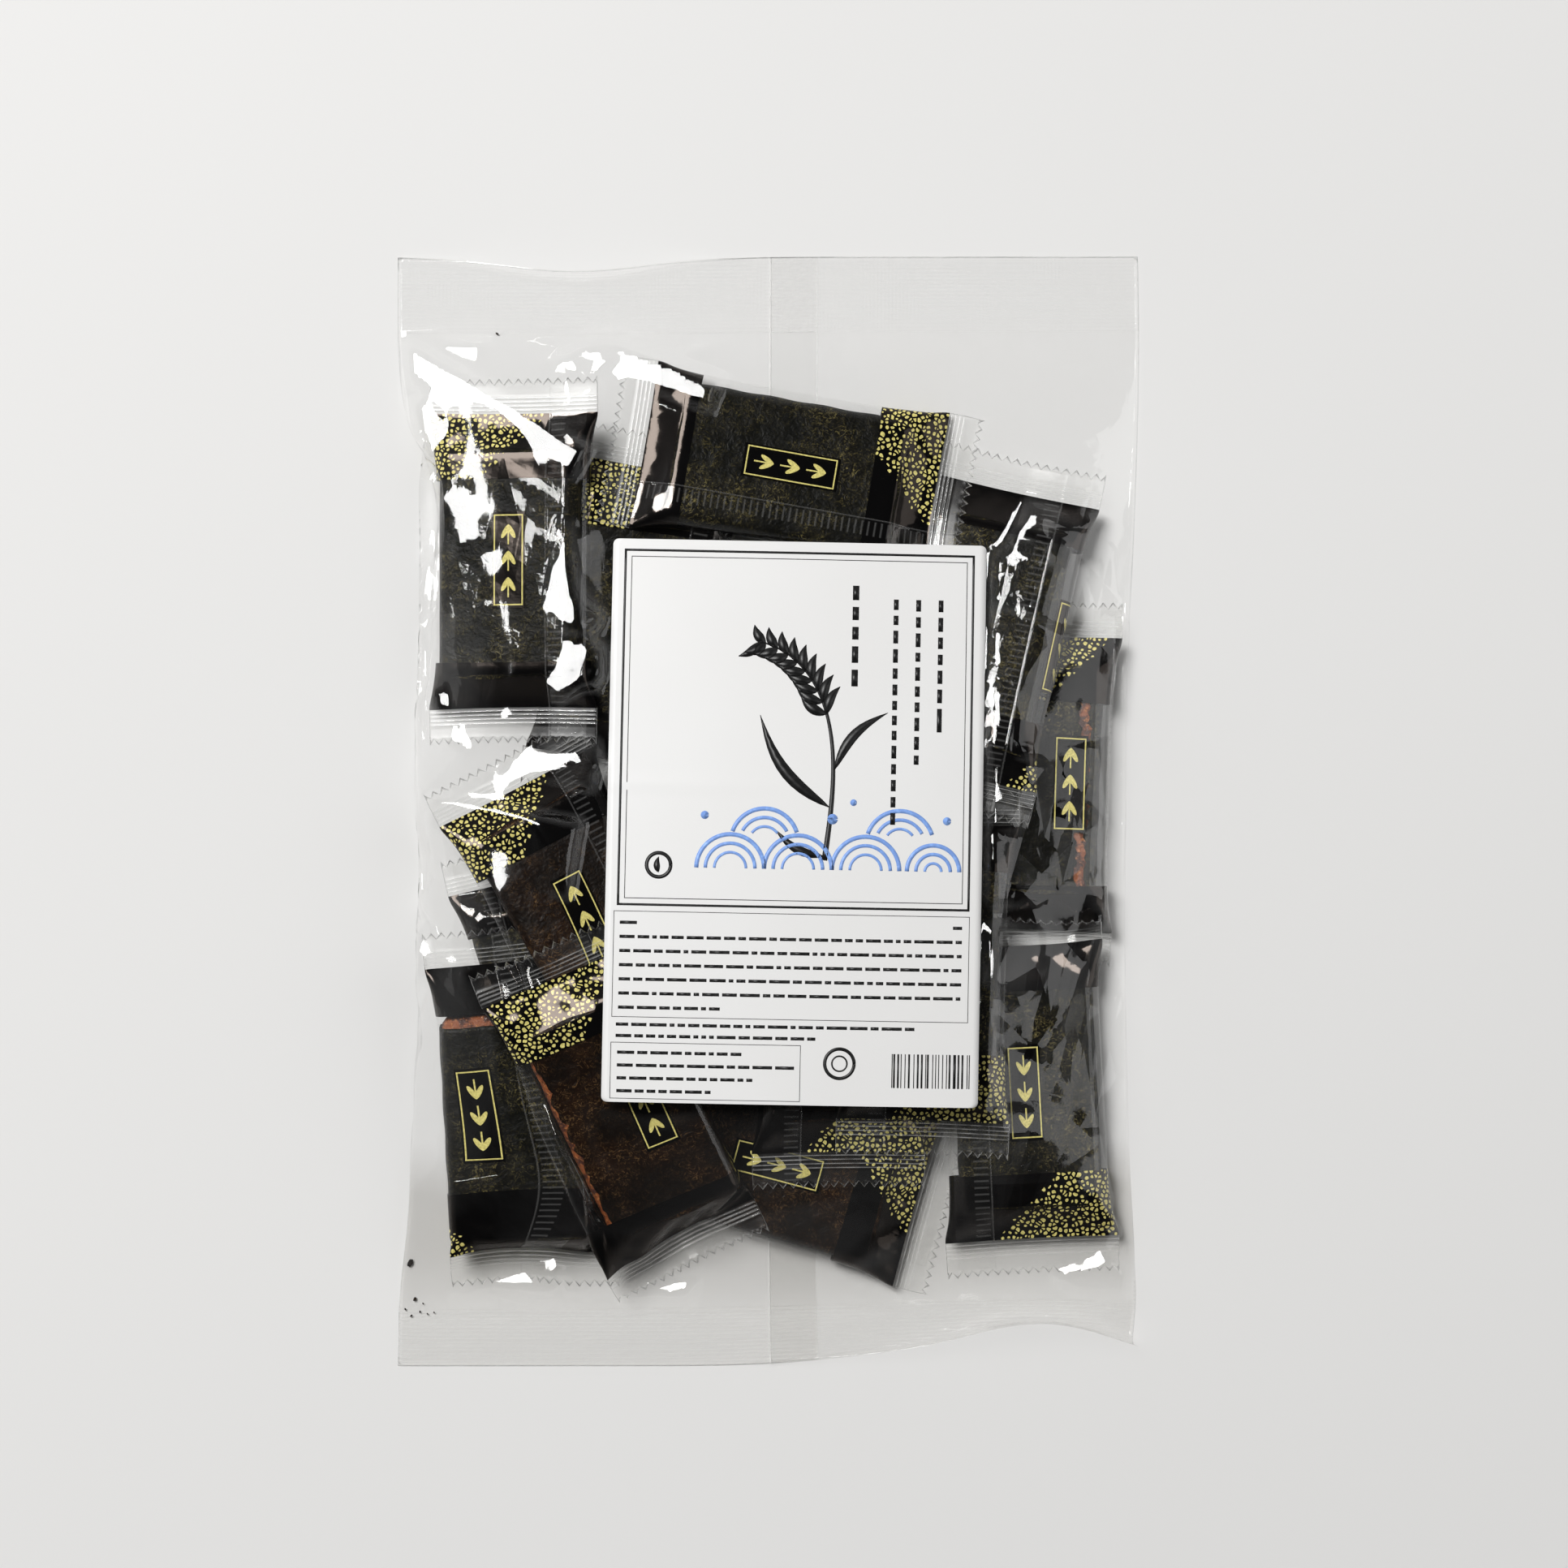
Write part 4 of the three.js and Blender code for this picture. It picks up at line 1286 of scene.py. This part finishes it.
# Tight, flat facets of the bag's front: where each one starts, the way it runs, how long it is and half
# its width, its slope and the way it faces, the share in percent of the film under it that it lies over,
# and the most that it rises. Those at the left face the softbox, those at the right the side panel.
Facet = namedtuple("Facet", "x y way long half_wide slope facing share most", defaults=(65, 4.0))
FACET_EDGE = 3.0         # how wide the steep film round a facet is
FACETS = (
    Facet(-99, 129, -14, 22, 2.6, 0.30, 136, 80),
    Facet(-99, 123, -31.7, 56, 3.6, 0.25, 138, 80),
    Facet(-94, 110, -64, 20, 3.0, 0.36, 150, 70),
    Facet(-56, 117, 30, 14, 3.5, 0.30, 130, 85, 5.0),
    Facet(-47, 124, -20, 34, 3.6, 0.27, 130, 85, 5.0),
    Facet(-84, 84, -72, 13, 3.0, 0.27, 150),
    Facet(-66, 64, -38, 24, 3.2, 0.30, 130),
    Facet(-57, 75, -82, 25, 2.6, 0.33, 146),
    Facet(-62, 46, -24, 19, 4.2, 0.28, 140),
    Facet(-57, 33, 32, 12, 2.6, 0.30, 120),
    Facet(-93, 31, -8, 13, 2.2, 0.32, 130),
    Facet(-89, 0, 19, 46, 1.8, 0.27, 136),
    Facet(-85, 21, -16, 40, 2.8, 0.26, 128),
    Facet(-79, 8, 14, 30, 2.2, 0.30, 144),
    Facet(-62, -116, -64, 9, 2.4, 0.32, 134),
    Facet(-33, -126, -15, 12, 2.4, 0.32, 134),
    Facet(-77, -123, -14, 20, 3.0, 0.30, 136),
    Facet(79, -117, -42, 24, 6.0, 0.34, 134, 80),
    Facet(64, 80, -10, 11, 2.2, 0.30, 130),
    Facet(-90, -6, -10, 38, 9.0, 0.36, 198, 80),
    Facet(68, 76, -26, 26, 6.0, 0.46, 6, 70, 2.5),
    Facet(60, 60, -8, 31, 8.0, 0.46, 10, 65, 2.2),
    Facet(58, 46, -20, 33, 8.0, 0.52, -14, 65, 2.2),
    Facet(58, 26, 6, 34, 9.0, 0.44, 14, 65, 2.2),
    Facet(58, 6, -12, 32, 9.0, 0.54, -8, 65, 2.2),
    Facet(58, -16, 4, 32, 8.0, 0.46, 8, 65, 2.2),
    Facet(57, -38, -6, 30, 7.0, 0.50, -10, 65, 2.2),
    Facet(70, -62, 60, 20, 3.5, 0.44, 6, 65, 2.2),
)


def end_curl(x):
    """How far the bottom seal is drawn in, where it curls up at the right."""
    return 12.5 * np.exp(-((x - 74) / 30) ** 2) + 2.5 * np.exp(-((x - 30) / 26) ** 2)


def end_wave(x):
    """How far the top seal is drawn in, where it bows up at the left."""
    return 4.4 * np.exp(-((x + 52) / 27) ** 2)


def label_height(x, y):
    """Height of the label's underside."""
    drop = label_drop(*to_local(x, y, LABEL_PLACE))
    return plane_height(rests()[-1], x, y) - HEAP_LIFT - drop + LABEL_OFF


def in_seals(y, sizes):
    """Whether places along the bag's film lie in its seals."""
    half = sizes.length / MM / 2
    return (y > half - sizes.top_seal / MM) | (y < sizes.bottom_seal / MM - half)


def bag_film(sizes):
    """The bag's film at rest over its contents, in millimetres."""
    width, length = sizes.width / MM, sizes.length / MM
    top = np.full(GRID_SHAPE, -FAR)
    bottom = np.full(GRID_SHAPE, FAR)
    for points in made["wraps"]:
        splat(points, top)
        splat(points, bottom, highest=False)
    top = grow(top)
    bottom = grow(bottom, highest=False)

    def material_grid(rows, ring):
        across = np.arange(ring) / ring
        x = np.where(across < 0.5, 2 * across, 2 - 2 * across) * width - width / 2
        y = np.linspace(-length / 2, length / 2, rows)[:, None]
        return np.broadcast_to(x, (rows, ring)), np.broadcast_to(y, (rows, ring))

    def holder(rows, ring):
        """Keeps the film off the contents and the floor, flat in its seals and still on its label."""
        x, y = material_grid(rows, ring)
        front = (np.arange(ring) <= ring // 2)[None, None, :]
        glued = front[0] & on_label(x, y, GLUE_MARGIN)
        glued_z = label_height(x, y)[glued] - 0.12
        sealed = in_seals(y[:, 0], sizes)
        ends = ((0, -length / 2 + end_curl(x[0]), 0.6 + 0.95 * end_curl(x[0])),
                (-1, length / 2 - end_wave(x[0]), 0.6 + 1.5 * end_wave(x[0])))

        def settle(film):
            px, py, pz = film[..., 0], film[..., 1], film[..., 2]
            high = np.maximum(sample(top, px, py) + 0.35, 0.35)
            low = np.maximum(sample(bottom, px, py) - 0.15, 0.25)
            pz[:] = np.where(front, np.maximum(pz, high), np.minimum(pz, low))
            np.maximum(pz, FILM_FLOOR, out=pz)
            pz += np.where(front, PUFF, -SAG)
            np.maximum(pz, FILM_FLOOR, out=pz)
            px[..., 0] -= FOLD_PULL
            px[..., ring // 2] += FOLD_PULL
            flat = 0.5 * (film + mirror(film))
            film[:, sealed] = flat[:, sealed]
            film[0][glued, 0] = x[glued]
            film[0][glued, 1] = y[glued]
            film[0][glued, 2] = glued_z
            for row, end_y, end_z in ends:
                film[0, row, :, 0] += 0.2 * (x[0] - film[0, row, :, 0])
                film[0, row, :, 1] += 0.2 * (end_y - film[0, row, :, 1])
                film[0, row, :, 2] += 0.1 * (end_z - film[0, row, :, 2])
        return settle

    ring, rows = BAG_COLUMNS, BAG_ROWS // 2 + 1
    x, y = material_grid(rows, ring)
    rng = np.random.default_rng(3)
    front = np.arange(ring) <= ring // 2
    film = np.zeros((1, rows, ring, 3))
    film[0, :, :, 0] = x * (1 - 0.03 * np.clip(1 - np.abs(y / 150) ** 2.5, 0, 1))
    film[0, :, :, 1] = y
    film[0, :, :, 2] = np.where(front, cad_top(film[0, :, :, 0], y), FILM_FLOOR)
    film[..., 2] += soft_noise(rng, x, y) * np.where(front, 1.0, 0.1)
    folds = BAG_FOLDS + tuple(random_creases(rng, 120, 96, 128, 34, 8, 0.10))
    step, row_step = 1.003 * width / (ring // 2), 1.012 * length / (rows - 1)
    stiffness = {"slack": 1.0, "bend": 0.01, "crease": 0.15, "keep": 0.93}
    film = relax_film(film, step, row_step, pass_count(500), holder(rows, ring), **stiffness)
    film = refine(film)
    rows, ring = film.shape[1:3]
    film = relax_film(film, step / 2, row_step / 2, pass_count(400), holder(rows, ring), **stiffness)
    return crease_front(film[0], *material_grid(rows, ring), folds, top, sizes)


def crease_front(film, x, y, folds, top, sizes):
    """Gives the front of the bag its creases, none of them in the seals, the sides or on the label."""
    width, length = sizes.width / MM, sizes.length / MM
    u, v = to_local(x, y, LABEL_PLACE)
    edge_u, edge_v = (half + GLUE_MARGIN for half in LABEL_HALF)
    off_label = np.clip(np.maximum(np.abs(u) - edge_u, np.abs(v) - edge_v) / 2, 0, 1)
    off_seals = np.clip(np.minimum(length / 2 - sizes.top_seal / MM - y,
                                   y + length / 2 - sizes.bottom_seal / MM) / 4, 0, 1)
    off_sides = np.clip((width / 2 - np.abs(x)) / 4, 0, 1)
    front = np.arange(film.shape[1]) <= film.shape[1] // 2
    free = off_label * off_seals * off_sides * front
    rise = creases(x, y, folds) * free
    floor = sample(top, film[..., 0], film[..., 1]) + 0.2
    raised = np.maximum(film[..., 2] + rise, np.minimum(film[..., 2], floor))
    film[..., 2] = np.maximum(raised, FILM_FLOOR)
    for facet in FACETS:
        film[..., 2] += free * facet_lift(film, front, facet)
    return film


def facet_lift(film, front, facet):
    """How far the film rises to a flat, tight facet that the contents stretch it into.

    The facet lies as high as most of the film under it and falls off steeply round its edges.
    """
    way, facing = math.radians(facet.way), math.radians(facet.facing)
    x, y, z = film[..., 0] - facet.x, film[..., 1] - facet.y, film[..., 2]
    along = x * math.cos(way) + y * math.sin(way)
    across = np.abs(y * math.cos(way) - x * math.sin(way))
    outside = np.maximum(np.maximum(-along, along - facet.long), across - facet.half_wide)
    plane = -facet.slope * (x * math.cos(facing) + y * math.sin(facing))
    on = (outside <= 0) & front
    height = np.percentile((z - plane)[on], facet.share)
    return np.clip(height + plane - z, 0, facet.most) * np.clip(1 - outside / FACET_EDGE, 0, 1)


def soft_noise(rng, x, y):
    """A gentle unevenness, so that the film doesn't start perfectly smooth."""
    out = np.zeros(x.shape)
    for _ in range(24):
        wave = rng.normal(0, 0.09, 2)
        out += 0.3 * np.sin(x * wave[0] + y * wave[1] + rng.uniform(0, 6.28))
    return out


def cad_top(x, y):
    """Height of the CAD bag's upper face, read from its node's points."""
    field = np.zeros(GRID_SHAPE)
    splat(mesh_points(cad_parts["bag"]) / MM, field)
    for _ in range(7):
        field = np.where(field == 0, grow(field), field)
    for _ in range(30):
        field[1:-1, 1:-1] = 0.25 * (field[2:, 1:-1] + field[:-2, 1:-1] + field[1:-1, 2:] + field[1:-1, :-2])
    return sample(field, x, y)


class MESH_OT_rice_bag(bpy.types.Operator):
    """Relax the clear bag over the wrapped crackers, with its seals and the lap at its back"""
    bl_idname = "mesh.rice_bag"
    bl_label = "Bag"

    def execute(self, context):
        sizes = settings()[0]
        width, length = sizes.width / MM, sizes.length / MM
        material = bag_material(sizes)
        film = bag_film(sizes)
        rows, ring = film.shape[:2]
        rows_at = np.linspace(-length / 2, length / 2, rows)
        part_layers(film, in_seals(rows_at, sizes))
        tube = np.concatenate((film, film[:, :1]), axis=1)
        bag = new_sheet("bag_film", ring, rows - 1)
        give_points(bag, tube)
        give_print(bag, np.linspace(0, 2 * width, ring + 1) - width / 2, rows_at)
        close_doubles(bag)
        lap = self.back_lap(film, rows_at, sizes)
        bag = join([bag, lap], "bag_film")
        finish_piece(bag, material)
        return {"FINISHED"}

    def back_lap(self, film, rows_at, sizes):
        """The lap that closes the tube: a flap down the middle of the back, under the film."""
        width = sizes.width / MM
        fin = sizes.back_fin / MM
        out = np.concatenate(((0, 0.25, 0.5), np.linspace(1.5, fin - 0.4, 6), (fin,)))
        lap = new_sheet("back_lap", len(out) - 1, len(rows_at) - 1)
        column = (1.5 * width - (out + 0.6)) / (2 * width) * film.shape[1]
        points = read_tube(film, np.arange(len(rows_at)).astype(float), column)
        points[..., 2] = np.maximum(points[..., 2] - 0.1 - 0.1 * np.sin(np.pi * out / fin), 0.08)
        points[:, 0, 2] = np.maximum(points[:, 0, 2], 0.16)
        points[:, 1, 2] = np.maximum(points[:, 1, 2], 0.22)
        give_points(lap, points)
        give_print(lap, LAP_MAP + out, rows_at)
        return lap


# ---------------------------------------------------------------- operators: the label

PAPER = 0.12
INK_RISE = 0.02
SMALL_PRINT = 0.85
# The label's frames: left, bottom, right and top, and how wide their lines are.
LABEL_FRAMES = (
    (-46.6, -22.6, 46.6, 72.0, 0.62),
    (-44.9, -20.9, 44.9, 70.3, 0.2),
    (-47.6, -52.4, 46.9, -24.4, 0.16),
    (-47.7, -74.0, 2.6, -59.2, 0.16),
)


def label_points(u, v, rise):
    """Places on the label, with their height over its underside."""
    x, y = to_bag(u, v, LABEL_PLACE)
    crease = 0.16 * np.exp(-((v - 9.5) / 1.2) ** 2) * np.clip((10 - u) / 60, 0, 1)
    return np.stack((x, y, label_height(x, y) + crease + rise), -1)


class MESH_OT_rice_label(bpy.types.Operator):
    """Make the white paper label with its rounded corners"""
    bl_idname = "mesh.rice_label"
    bl_label = "Label"

    def execute(self, context):
        sizes, _, _, colours = settings()
        wide, tall = sizes.label_width / MM / 2, sizes.label_length / MM / 2
        corner = 1.5
        bend = tall - corner * (1 - np.sin(np.linspace(0, math.pi / 2, 6)))
        rows = np.concatenate((-bend[::-1], np.linspace(-bend[0], bend[0], 92)[1:-1], bend))
        reach = np.clip(np.abs(rows) - (tall - corner), 0, None)
        half = wide - corner + np.sqrt(np.clip(corner ** 2 - reach ** 2, 0, None))
        columns = 60
        u = np.linspace(-1, 1, columns + 1)[None, :] * half[:, None]
        v = np.broadcast_to(rows[:, None], u.shape)
        label = new_sheet("paper_label", columns, len(rows) - 1)
        give_points(label, label_points(u, v, PAPER))
        apply_modifier(label, "SOLIDIFY", thickness=PAPER * MM, offset=-1.0)
        finish_piece(label, paper_material(colours), "front_label")
        return {"FINISHED"}


def stroke(path, widths):
    """One stroke of ink along a path of places on the label, as wide as given along it."""
    path = np.asarray(path, float)
    widths = np.broadcast_to(np.asarray(widths, float), len(path))
    along = np.gradient(path, axis=0)
    along /= np.linalg.norm(along, axis=1, keepdims=True) + 1e-9
    side = np.stack((-along[:, 1], along[:, 0]), -1) * widths[:, None] / 2
    mark = new_sheet("stroke", len(path) - 1, 1)
    edges = np.stack((path - side, path + side))
    give_points(mark, label_points(edges[..., 0], edges[..., 1], PAPER + INK_RISE))
    return mark


def straight(start, stop, width):
    count = max(2, int(math.dist(start, stop) / 2.5))
    return stroke(np.linspace(start, stop, count), width)


def outline(left, bottom, right, top, width):
    """A frame of four lines that meet at their corners."""
    h = width / 2
    return [
        straight((left - h, bottom), (right + h, bottom), width),
        straight((left - h, top), (right + h, top), width),
        straight((left, bottom + h), (left, top - h), width),
        straight((right, bottom + h), (right, top - h), width),
    ]


def dashes(start, length, height, rng, down=False, least=1.2, most=5.5, gap=0.8):
    """A line of dashes of uneven length where the label has small print: a strip without its gaps."""
    stops, ink = [0.0], []
    while stops[-1] < length - least:
        stops.append(min(length, stops[-1] + rng.uniform(least, most)))
        ink.append(True)
        if stops[-1] < length - gap - least:
            stops.append(stops[-1] + gap)
            ink.append(False)
    strip = new_sheet("dashes", len(stops) - 1, 1)
    along = np.array([stops, stops])
    across = np.array([[-height / 2] * len(stops), [height / 2] * len(stops)])
    u, v = (start[0] + across, start[1] - along) if down else (start[0] + along, start[1] + across)
    give_points(strip, label_points(u, v, PAPER + INK_RISE))
    edit_mesh(strip, select_all={"action": "DESELECT"})
    for face, inked in zip(strip.data.polygons, ink):
        face.select = not inked
    edit_mesh(strip, select_mode={"type": "FACE"}, delete={"type": "FACE"})
    if down:
        edit_mesh(strip, select_all={"action": "SELECT"}, flip_normals={})
    return strip


def arc(middle, radius, start, stop, width, count=25):
    angle = np.radians(np.linspace(start, stop, count))
    path = np.stack((middle[0] + radius * np.cos(angle), middle[1] + radius * np.sin(angle)), -1)
    return stroke(path, width)


def leaf(base, turn, size, width):
    """A brush mark that swells and comes to a point, bent a little."""
    t = np.linspace(0, 1, 12)
    bow = 0.12 * size * np.sin(math.pi * t)
    turn = math.radians(turn)
    x = base[0] + size * t * math.cos(turn) - bow * math.sin(turn)
    y = base[1] + size * t * math.sin(turn) + bow * math.cos(turn)
    return stroke(np.stack((x, y), -1), width * np.sin(math.pi * t ** 0.8) + 0.12)


class MESH_OT_rice_label_print(bpy.types.Operator):
    """Print the label: frames, dashes for its small print, an ear of rice and blue waves"""
    bl_idname = "mesh.rice_label_print"
    bl_label = "Label Print"

    def execute(self, context):
        colours = settings()[3]
        rng = np.random.default_rng(21)
        black = [line for frame_lines in LABEL_FRAMES for line in outline(*frame_lines)]
        lines = [(-46.0, -27.4 - 3.75 * k, 91.0) for k in range(6)]
        lines += [(-46.0, -49.9, 27.0), (-46.5, -54.4, 80.0), (-46.5, -57.4, 53.0)]
        lines += [(-46.0, -61.8 - 3.4 * k, size) for k, size in enumerate((34.0, 47.0, 36.0, 25.0))]
        for left, height, size in lines:
            black.append(dashes((left, height), size, SMALL_PRINT, rng))
        columns = [((left, 60.0), size, 1.3, 2.4, 3.8, 1.5)
                   for left, size in ((38.0, 36.0), (32.0, 45.0), (26.0, 62.0))]
        columns.append(((15.2, 63.5), 29.0, 1.7, 3.0, 4.6, 1.8))
        for start, size, wide, least, most, gap in columns:
            black.append(dashes(start, size, wide, rng, True, least, most, gap))
        black += self.bars(rng)
        black += [arc((13.0, -63.8), 3.9, 0, 360, 0.9, 48), arc((13.0, -63.8), 2.0, 0, 360, 0.45, 36)]
        black += [arc((-36.0, -12.0), 3.2, 0, 360, 1.0, 40), leaf((-36.0, -14.0), 90, 4.2, 1.6)]
        black += self.rice_ear()
        self.printed(black, "black", colours.black)
        self.printed(self.waves(), "blue", colours.blue)
        return {"FINISHED"}

    def bars(self, rng):
        """A band of plain upright bars."""
        marks = []
        x = 27.0
        while x < 51.0 - 3.0:
            width = rng.choice((0.25, 0.5, 0.75), p=(0.5, 0.32, 0.18))
            marks.append(straight((x, -70.0), (x, -61.0), width))
            x += width + rng.choice((0.3, 0.55, 0.8))
        return marks

    def rice_ear(self):
        """An ear of rice, painted with a broad brush, that hangs over to the left."""
        marks = []
        t = np.linspace(0, 1, 40)
        stem = np.stack((8.0 + 3.5 * np.sin(2.6 * t) - 20.0 * t ** 3.0,
                         -10.0 + 72.0 * t - 14.0 * t ** 4), -1)
        marks.append(stroke(stem, 1.5 * (1 - 0.72 * t)))
        for k in range(9):
            at = 0.56 + 0.052 * k
            spot = np.array([np.interp(at, t, stem[:, 0]), np.interp(at, t, stem[:, 1])])
            ahead = np.array([np.interp(at + 0.02, t, stem[:, 0]), np.interp(at + 0.02, t, stem[:, 1])])
            way = math.degrees(math.atan2(*(ahead - spot)[::-1]))
            marks.append(leaf(spot, way + 38, 8.6 - 0.3 * k, 2.7))
            marks.append(leaf(spot, way - 42, 8.2 - 0.3 * k, 2.5))
        marks.append(leaf(stem[-1], 215, 7.0, 2.3))
        marks.append(leaf((9.3, 4.0), 128, 31.0, 3.1))
        marks.append(leaf((10.2, 14.0), 48, 21.0, 2.6))
        marks.append(leaf((8.0, -9.0), 152, 15.0, 2.3))
        return marks

    def waves(self):
        """Round-topped waves of three rings each, in two rows, with a few drops."""
        marks = []
        for x, y, size in ((-17.0, -12.5, 9.0), (1.0, -12.5, 9.0), (19.0, -12.5, 9.0), (37.0, -12.5, 7.0),
                           (-8.0, -5.5, 9.0), (28.0, -5.5, 9.0)):
            for ring in range(3):
                radius = size - 2.4 * ring
                low = 18 + 9 * ring if y > -10 else 0
                marks.append(arc((x, y), radius, low, 180 - low, 1.15 - 0.2 * ring))
        for x, y, size in ((-24.0, 1.5, 1.1), (10.0, 1.0, 1.4), (15.5, 5.5, 0.9), (40.5, 1.0, 1.1)):
            marks.append(arc((x, y), size / 2, 0, 360, size, 20))
        return marks

    def printed(self, marks, name, colour):
        """Joins strokes into one thin layer of ink."""
        mark = join(marks, "label_print_" + name)
        apply_modifier(mark, "SOLIDIFY", thickness=0.00001, offset=-1.0)
        finish_piece(mark, ink_material(name + "_ink", colour), "front_label")


# ---------------------------------------------------------------- operators: crumbs and stage

# Where the loose flakes of seaweed lie, and how long each one is.
FLAKES = (
    (-96.6, -122.0, 2.1), (-95.4, -131.8, 1.1), (-98.0, -134.5, 0.6), (-94.0, -135.2, 0.6),
    (-96.4, -136.3, 0.7), (-92.0, -135.8, 0.5), (-90.2, -135.4, 0.5), (-93.2, -133.0, 0.5),
    (-73.2, 129.2, 0.8),
)
FLAKE_HEIGHT = 0.62


class MESH_OT_rice_crumbs(bpy.types.Operator):
    """Scatter the few flakes of seaweed that lie loose in the bag"""
    bl_idname = "mesh.rice_crumbs"
    bl_label = "Crumbs"

    def execute(self, context):
        rng = np.random.default_rng(4)
        flakes = []
        for x, y, size in FLAKES:
            flake = new_sheet("flake", 3, 4)
            turn = rng.uniform(0, 6.28)
            u, v = np.meshgrid(np.linspace(-0.35, 0.35, 4), np.linspace(-0.5, 0.5, 5))
            u = u * (1 - 1.6 * v ** 2) + rng.normal(0, 0.04, u.shape)
            v = v + rng.normal(0, 0.03, v.shape)
            px = x + size * (u * math.cos(turn) - v * math.sin(turn))
            py = y + size * (u * math.sin(turn) + v * math.cos(turn))
            pz = FLAKE_HEIGHT + 0.25 * size * (u ** 2 + v ** 2)
            give_points(flake, np.stack((px, py, pz), -1))
            flakes.append(flake)
        crumbs = join(flakes, "seaweed_crumbs")
        apply_modifier(crumbs, "SOLIDIFY", thickness=0.00012, offset=0.0)
        finish_piece(crumbs, bpy.data.materials["thin_seaweed"])
        return {"FINISHED"}


def floor_material():
    """Plain, pale, slightly warm floor."""
    nodes = Nodes("pale_floor")
    cloud = nodes.own_noise(3.0, 2.0)
    base = nodes.blend(nodes.ramp(cloud, 0.3, 0.7), (0.78, 0.777, 0.77, 1.0), (0.768, 0.765, 0.758, 1.0))
    return nodes.painted({"Base Color": base, "Roughness": 0.7, "Specular IOR Level": 0.2})


def studio_world():
    """A sky that is brighter towards its rim, so that steep film has something to mirror."""
    nodes = Nodes("studio", bpy.data.worlds)
    up = nodes.add("SeparateXYZ", {0: nodes.add("TexCoord").outputs["Generated"]}).outputs[2]
    sky = nodes.add("Background", {"Strength": nodes.ramp(up, 0.1, 0.8, 0.40, 0.015),
                                   "Color": (1.0, 0.995, 0.985, 1.0)})
    return nodes.finish(sky.outputs[0], "OutputWorld")


FRAME_PIXELS = 1932.0
PIXEL_MM = 0.2195        # the floor's size of one of them
BAG_MIDDLE_AT = (946.0, 1000.0)
CAMERA_HEIGHT = 1450.0
SENSOR_MM = 36.0
FLOOR_REACH = 6000.0


class SCENE_OT_rice_stage(bpy.types.Operator):
    """Set the pale floor, the lights and the camera over the bag"""
    bl_idname = "scene.rice_stage"
    bl_label = "Stage"

    def execute(self, context):
        scene = context.scene
        floor = new_sheet("floor", 1, 1)
        corners = ((-1, -1), (1, -1), (-1, 1), (1, 1))
        give_points(floor, [[FLOOR_REACH * x, FLOOR_REACH * y, 0.0] for x, y in corners])
        floor.data.materials.append(floor_material())

        self.light("softbox", (-1.24, 1.19, 2.36), 1.2, 1.5, 92.0, (1.0, 0.996, 0.99))
        self.light("side_panel", (1.45, 0.05, 1.00), 1.15, 1.0, 4.2, (1.0, 1.0, 1.0))
        scene.world = studio_world()

        bpy.ops.object.select_all(action="DESELECT")
        centre_x = (FRAME_PIXELS / 2 - BAG_MIDDLE_AT[0]) * PIXEL_MM
        centre_y = (BAG_MIDDLE_AT[1] - FRAME_PIXELS / 2) * PIXEL_MM
        bpy.ops.object.camera_add(location=(centre_x * MM, centre_y * MM, CAMERA_HEIGHT * MM))
        camera = context.object
        camera.name = "camera"
        camera.data.sensor_width = SENSOR_MM
        camera.data.lens = SENSOR_MM * CAMERA_HEIGHT / (FRAME_PIXELS * PIXEL_MM)
        camera.data.dof.use_dof = False
        scene.camera = camera
        scene.view_settings.view_transform = "Standard"
        scene.view_settings.look = "None"
        scene.cycles.transparent_max_bounces = 32
        return {"FINISHED"}

    def light(self, name, place, wide, tall, power, colour):
        """A rectangular light that faces the bag."""
        aim = (Vector((0, 0, 0)) - Vector(place)).to_track_quat("-Z", "Y").to_euler()
        bpy.ops.object.light_add(type="AREA", location=place, rotation=aim)
        bpy.context.object.name = name
        lamp = bpy.context.object.data
        lamp.shape = "RECTANGLE"
        lamp.size = wide
        lamp.size_y = tall
        lamp.energy = power
        lamp.color = colour


OPERATORS = (
    SCENE_OT_rice_stage, MESH_OT_rice_crackers, MESH_OT_rice_seaweed, MESH_OT_rice_wraps,
    MESH_OT_rice_bag, MESH_OT_rice_label, MESH_OT_rice_label_print, MESH_OT_rice_crumbs,
)


class VIEW3D_PT_rice_crackers(bpy.types.Panel):
    """Sizes, colours and the steps that make the bag"""
    bl_idname = "VIEW3D_PT_rice_crackers"
    bl_label = "Rice Crackers"
    bl_space_type = "VIEW_3D"
    bl_region_type = "UI"
    bl_category = "Rice Crackers"

    def draw(self, context):
        layout = self.layout
        for group, kind in zip(settings(), SETTINGS):
            box = layout.box()
            for key in kind.__annotations__:
                box.prop(group, key)
        for operator in OPERATORS:
            layout.operator(operator.bl_idname)


KINDS = SETTINGS + OPERATORS + (VIEW3D_PT_rice_crackers,)


def register():
    for kind in KINDS:
        bpy.utils.register_class(kind)
    bpy.types.Scene.bag_sizes = bpy.props.PointerProperty(type=BagSizes)
    bpy.types.Scene.wrap_sizes = bpy.props.PointerProperty(type=WrapSizes)
    bpy.types.Scene.food_sizes = bpy.props.PointerProperty(type=FoodSizes)
    bpy.types.Scene.print_colours = bpy.props.PointerProperty(type=PrintColours)


def unregister():
    for name in ("bag_sizes", "wrap_sizes", "food_sizes", "print_colours"):
        delattr(bpy.types.Scene, name)
    for kind in reversed(KINDS):
        bpy.utils.unregister_class(kind)


def main():
    register()
    for operator in OPERATORS:
        category, name = operator.bl_idname.split(".")
        getattr(getattr(bpy.ops, category), name)()


if __name__ == "__main__":
    main()
